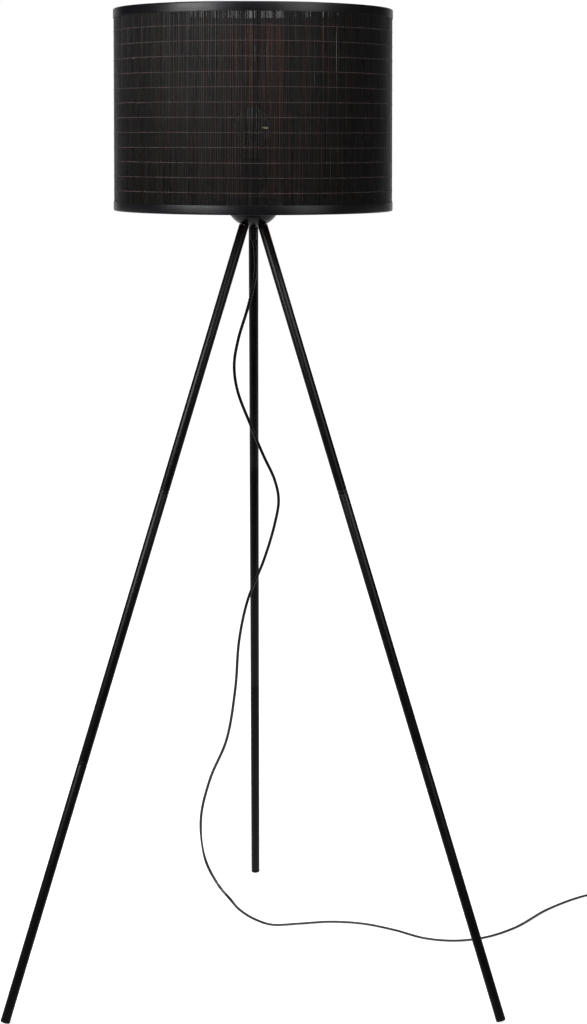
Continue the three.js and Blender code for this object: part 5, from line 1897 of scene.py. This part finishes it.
@dataclass
class Bulb(Maker):
    """The screw bulb: a zinc cap with a rolled thread and a frosted globe."""

    neck: float = 13 * MM
    wall: float = 1.2 * MM
    thread_pitch: float = 3.6 * MM
    thread_depth: float = 0.8 * MM
    contact_radius: float = 5 * MM
    shoulder_height: float = 4.5 * MM
    globe_spare: float = 0.08 * MM
    arc_start: float = -math.pi / 6
    neck_share: float = 0.2
    leave_share: float = 0.55
    arrive_share: float = 0.495

    def build(self) -> None:
        """Makes the cap and the globe."""
        self.cap()
        self.globe()

    def cap(self) -> bpy.types.Object:
        """The cap: a round contact, a shoulder and a rolled thread."""
        box = Box.of("bulb_cap")
        low, high, radius = box.low.z, box.high.z, box.radius
        contact, shoulder = self.contact_radius, low + self.shoulder_height
        corners = [(1.5 * MM, low), (contact, low), (contact, low + 2 * MM), (radius - 1 * MM, shoulder)]
        tip = rounded(corners, [0, 1 * MM, 0, 0])
        thread = threaded(radius, shoulder, high - 3 * MM, self.thread_pitch, self.thread_depth)
        rim = [[radius - 0.4 * MM, high - 2 * MM], [radius, high - 1 * MM], [radius, high]]
        columns = thread.shape[1]
        grid = np.concatenate([turned(tip, columns), thread, turned(rim, columns)])
        return self.piece("bulb_cap", Shell().add(grid + self.foot), self.looks.steel, Body.BULB)

    def globe(self) -> bpy.types.Object:
        """The globe: neck and sphere joined by a smooth flare, with a thin wall, open below.

        The flare is a cubic curve that leaves the neck upright and meets the sphere along its tangent.
        """
        box = Box.of("bulb_globe")
        radius = box.radius + self.globe_spare
        centre = box.high.z - radius
        arc = np.linspace(self.arc_start, math.pi / 2 - 0.01, 30)
        sphere = np.column_stack([radius * np.cos(arc), centre + radius * np.sin(arc)])
        share = np.linspace(0, 1, 14)[:, None]
        begin = np.array([self.neck, box.low.z + (centre - box.low.z) * self.neck_share])
        finish = sphere[0]
        rise = finish[1] - begin[1]
        tangent = np.array([-math.sin(self.arc_start), math.cos(self.arc_start)])
        leave = begin + np.array([0, rise * self.leave_share])
        arrive = finish - tangent * rise * self.arrive_share
        rest = 1 - share
        flare = begin * rest**3 + 3 * leave * share * rest**2
        flare = flare + 3 * arrive * share**2 * rest + finish * share**3
        outside = np.vstack([[[self.neck, box.low.z]], flare, sphere[1:]])
        way = tangents(outside)
        inside = outside - self.wall * np.column_stack([way[:, 1], -way[:, 0]])
        inside = np.maximum(inside, np.array([0.2 * MM, box.low.z]))
        profile = np.vstack([outside, inside[::-1]])
        piece = Shell().add(turned(profile, 96, self.foot), loop=True).make("bulb_globe")
        merged(piece)
        return dressed(piece, self.looks.glass, Body.BULB, "bulb_globe")


def merged(piece: bpy.types.Object, reach: float = 0.02 * MM) -> None:
    """Merges the points of a piece that are nearer than a reach."""
    work = bmesh.new()
    work.from_mesh(piece.data)
    bmesh.ops.remove_doubles(work, verts=work.verts, dist=reach)
    work.to_mesh(piece.data)
    work.free()


# Legs


@dataclass
class Leg(Maker):
    """One leg: three tubes screwed end to end through slim collars, its stud and nut, and its foot cap."""

    name: str
    tube_wall: float = 1.2 * MM
    edge: float = 0.45 * MM
    inner_edge: float = 0.2 * MM
    segments: int = 48
    core: float = 0.5 * MM
    spigot_reach: float = 25 * MM
    collar_edge: float = 0.7 * MM
    plug_reach: float = 16 * MM
    foot_segments: int = 72
    foot_wear: float = 0.9 * MM

    def build(self) -> None:
        """Makes the leg's pieces, and dresses the ones inside the bowl."""
        parts = ("upper", "middle", "lower")
        tubes = {part: self.bench.line(f"leg_{part}_tube_{self.name}") for part in parts}
        for part, line in tubes.items():
            self.tube(f"leg_{part}_tube_{self.name}", line)
        self.collar(f"leg_upper_joint_{self.name}", tubes["upper"], tubes["middle"])
        self.collar(f"leg_lower_joint_{self.name}", tubes["middle"], tubes["lower"])
        self.cap(tubes["lower"])
        self.bench.dress(self.looks.steel, f"leg_stud_{self.name}", f"leg_nut_{self.name}")

    def tube(self, node: str, line: Line) -> bpy.types.Object:
        """One tube about its centre line, turned from an outline with softened ends."""
        outer, inner, length, half = line.radius, line.radius - self.tube_wall, line.length, line.length / 2
        corners = [(outer, half), (outer, length), (inner, length), (inner, 0), (outer, 0), (outer, half)]
        outline = rounded(corners, [0, self.edge, self.inner_edge, self.inner_edge, self.edge, 0], 3)[:-1]
        grid = leaned(turned(outline, self.segments), line.start, line.way)
        return self.piece(node, Shell().add(grid, loop=True), self.looks.powder)

    def collar(self, node: str, above: Line, below: Line) -> bpy.types.Object:
        """The joint between two tubes: a slim collar with a threaded spigot up and down.

        Args:
            node: The node that it stands for.
            above: The line of the tube above.
            below: The line of the tube below.

        Returns:
            The joint piece.
        """
        low, high = SEAT_GAP, float(np.linalg.norm(below.start - above.end)) - SEAT_GAP
        outer, spigot = above.radius, above.radius - self.tube_wall - SEAT_GAP
        bottom, top = low - self.spigot_reach, high + self.spigot_reach
        corners = [
            (self.core, bottom), (spigot, bottom), (spigot, low), (outer, low),
            (outer, high), (spigot, high), (spigot, top), (self.core, top),
        ]
        collar = self.collar_edge
        outline = rounded(corners, [0, 1 * MM, 0, collar, collar, 0, 1 * MM, 0], 4)
        grid = leaned(turned(outline, self.segments), above.end, above.way)
        return self.piece(node, Shell().add(grid), self.looks.powder)

    def cap(self, tube: Line) -> bpy.types.Object:
        """The foot cap: a flange under the lowest tube, worn flat where it meets the floor.

        The flange is turned on the leg's line, and points below the floor are lifted to it.
        """
        outer, plug = tube.radius, tube.radius - self.tube_wall - SEAT_GAP
        tilt = math.acos(float(-tube.way[2]))
        inside = SEAT_GAP - self.plug_reach
        bottom = (tube.end[2] - outer * math.sin(tilt) + self.foot_wear) / math.cos(tilt)
        corners = [
            (self.core, inside), (plug, inside), (plug, SEAT_GAP),
            (outer, SEAT_GAP), (outer, bottom), (self.core, bottom),
        ]
        outline = rounded(corners, np.array([0, 0.8, 0, 0.4, 0.7, 0]) * MM, 5)
        face = np.column_stack([np.linspace(outer - 0.8 * MM, self.core, 12), np.full(12, bottom)])
        outline = np.vstack([outline[:-1], face])
        grid = leaned(turned(outline, self.foot_segments), tube.end, tube.way)
        grid[..., 2] = np.maximum(grid[..., 2], 0.0)
        return self.piece(f"foot_cap_{self.name}", Shell().add(grid), self.looks.rubber)


def main() -> None:
    """Builds the lamp in order: camera and cord first, then shade, hub, lampholder, bulb and legs."""
    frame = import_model()
    axis = LampAxis.found()
    Photographer().place(axis)
    Studio().build(axis)
    bench = Workbench(frame["nodes"], axis, Looks())
    on_cord = [*FootSwitch(bench).build(), CoilTie(bench).build(), *MainsPlug(bench).build()]
    FlexCord(bench).build(on_cord)
    for maker in (ReedShade, Spider, Hub, Lampholder, Bulb):
        maker(bench).build()
    for name in LEG_AZIMUTHS:
        Leg(bench, name).build()


if __name__ == "__main__":
    main()
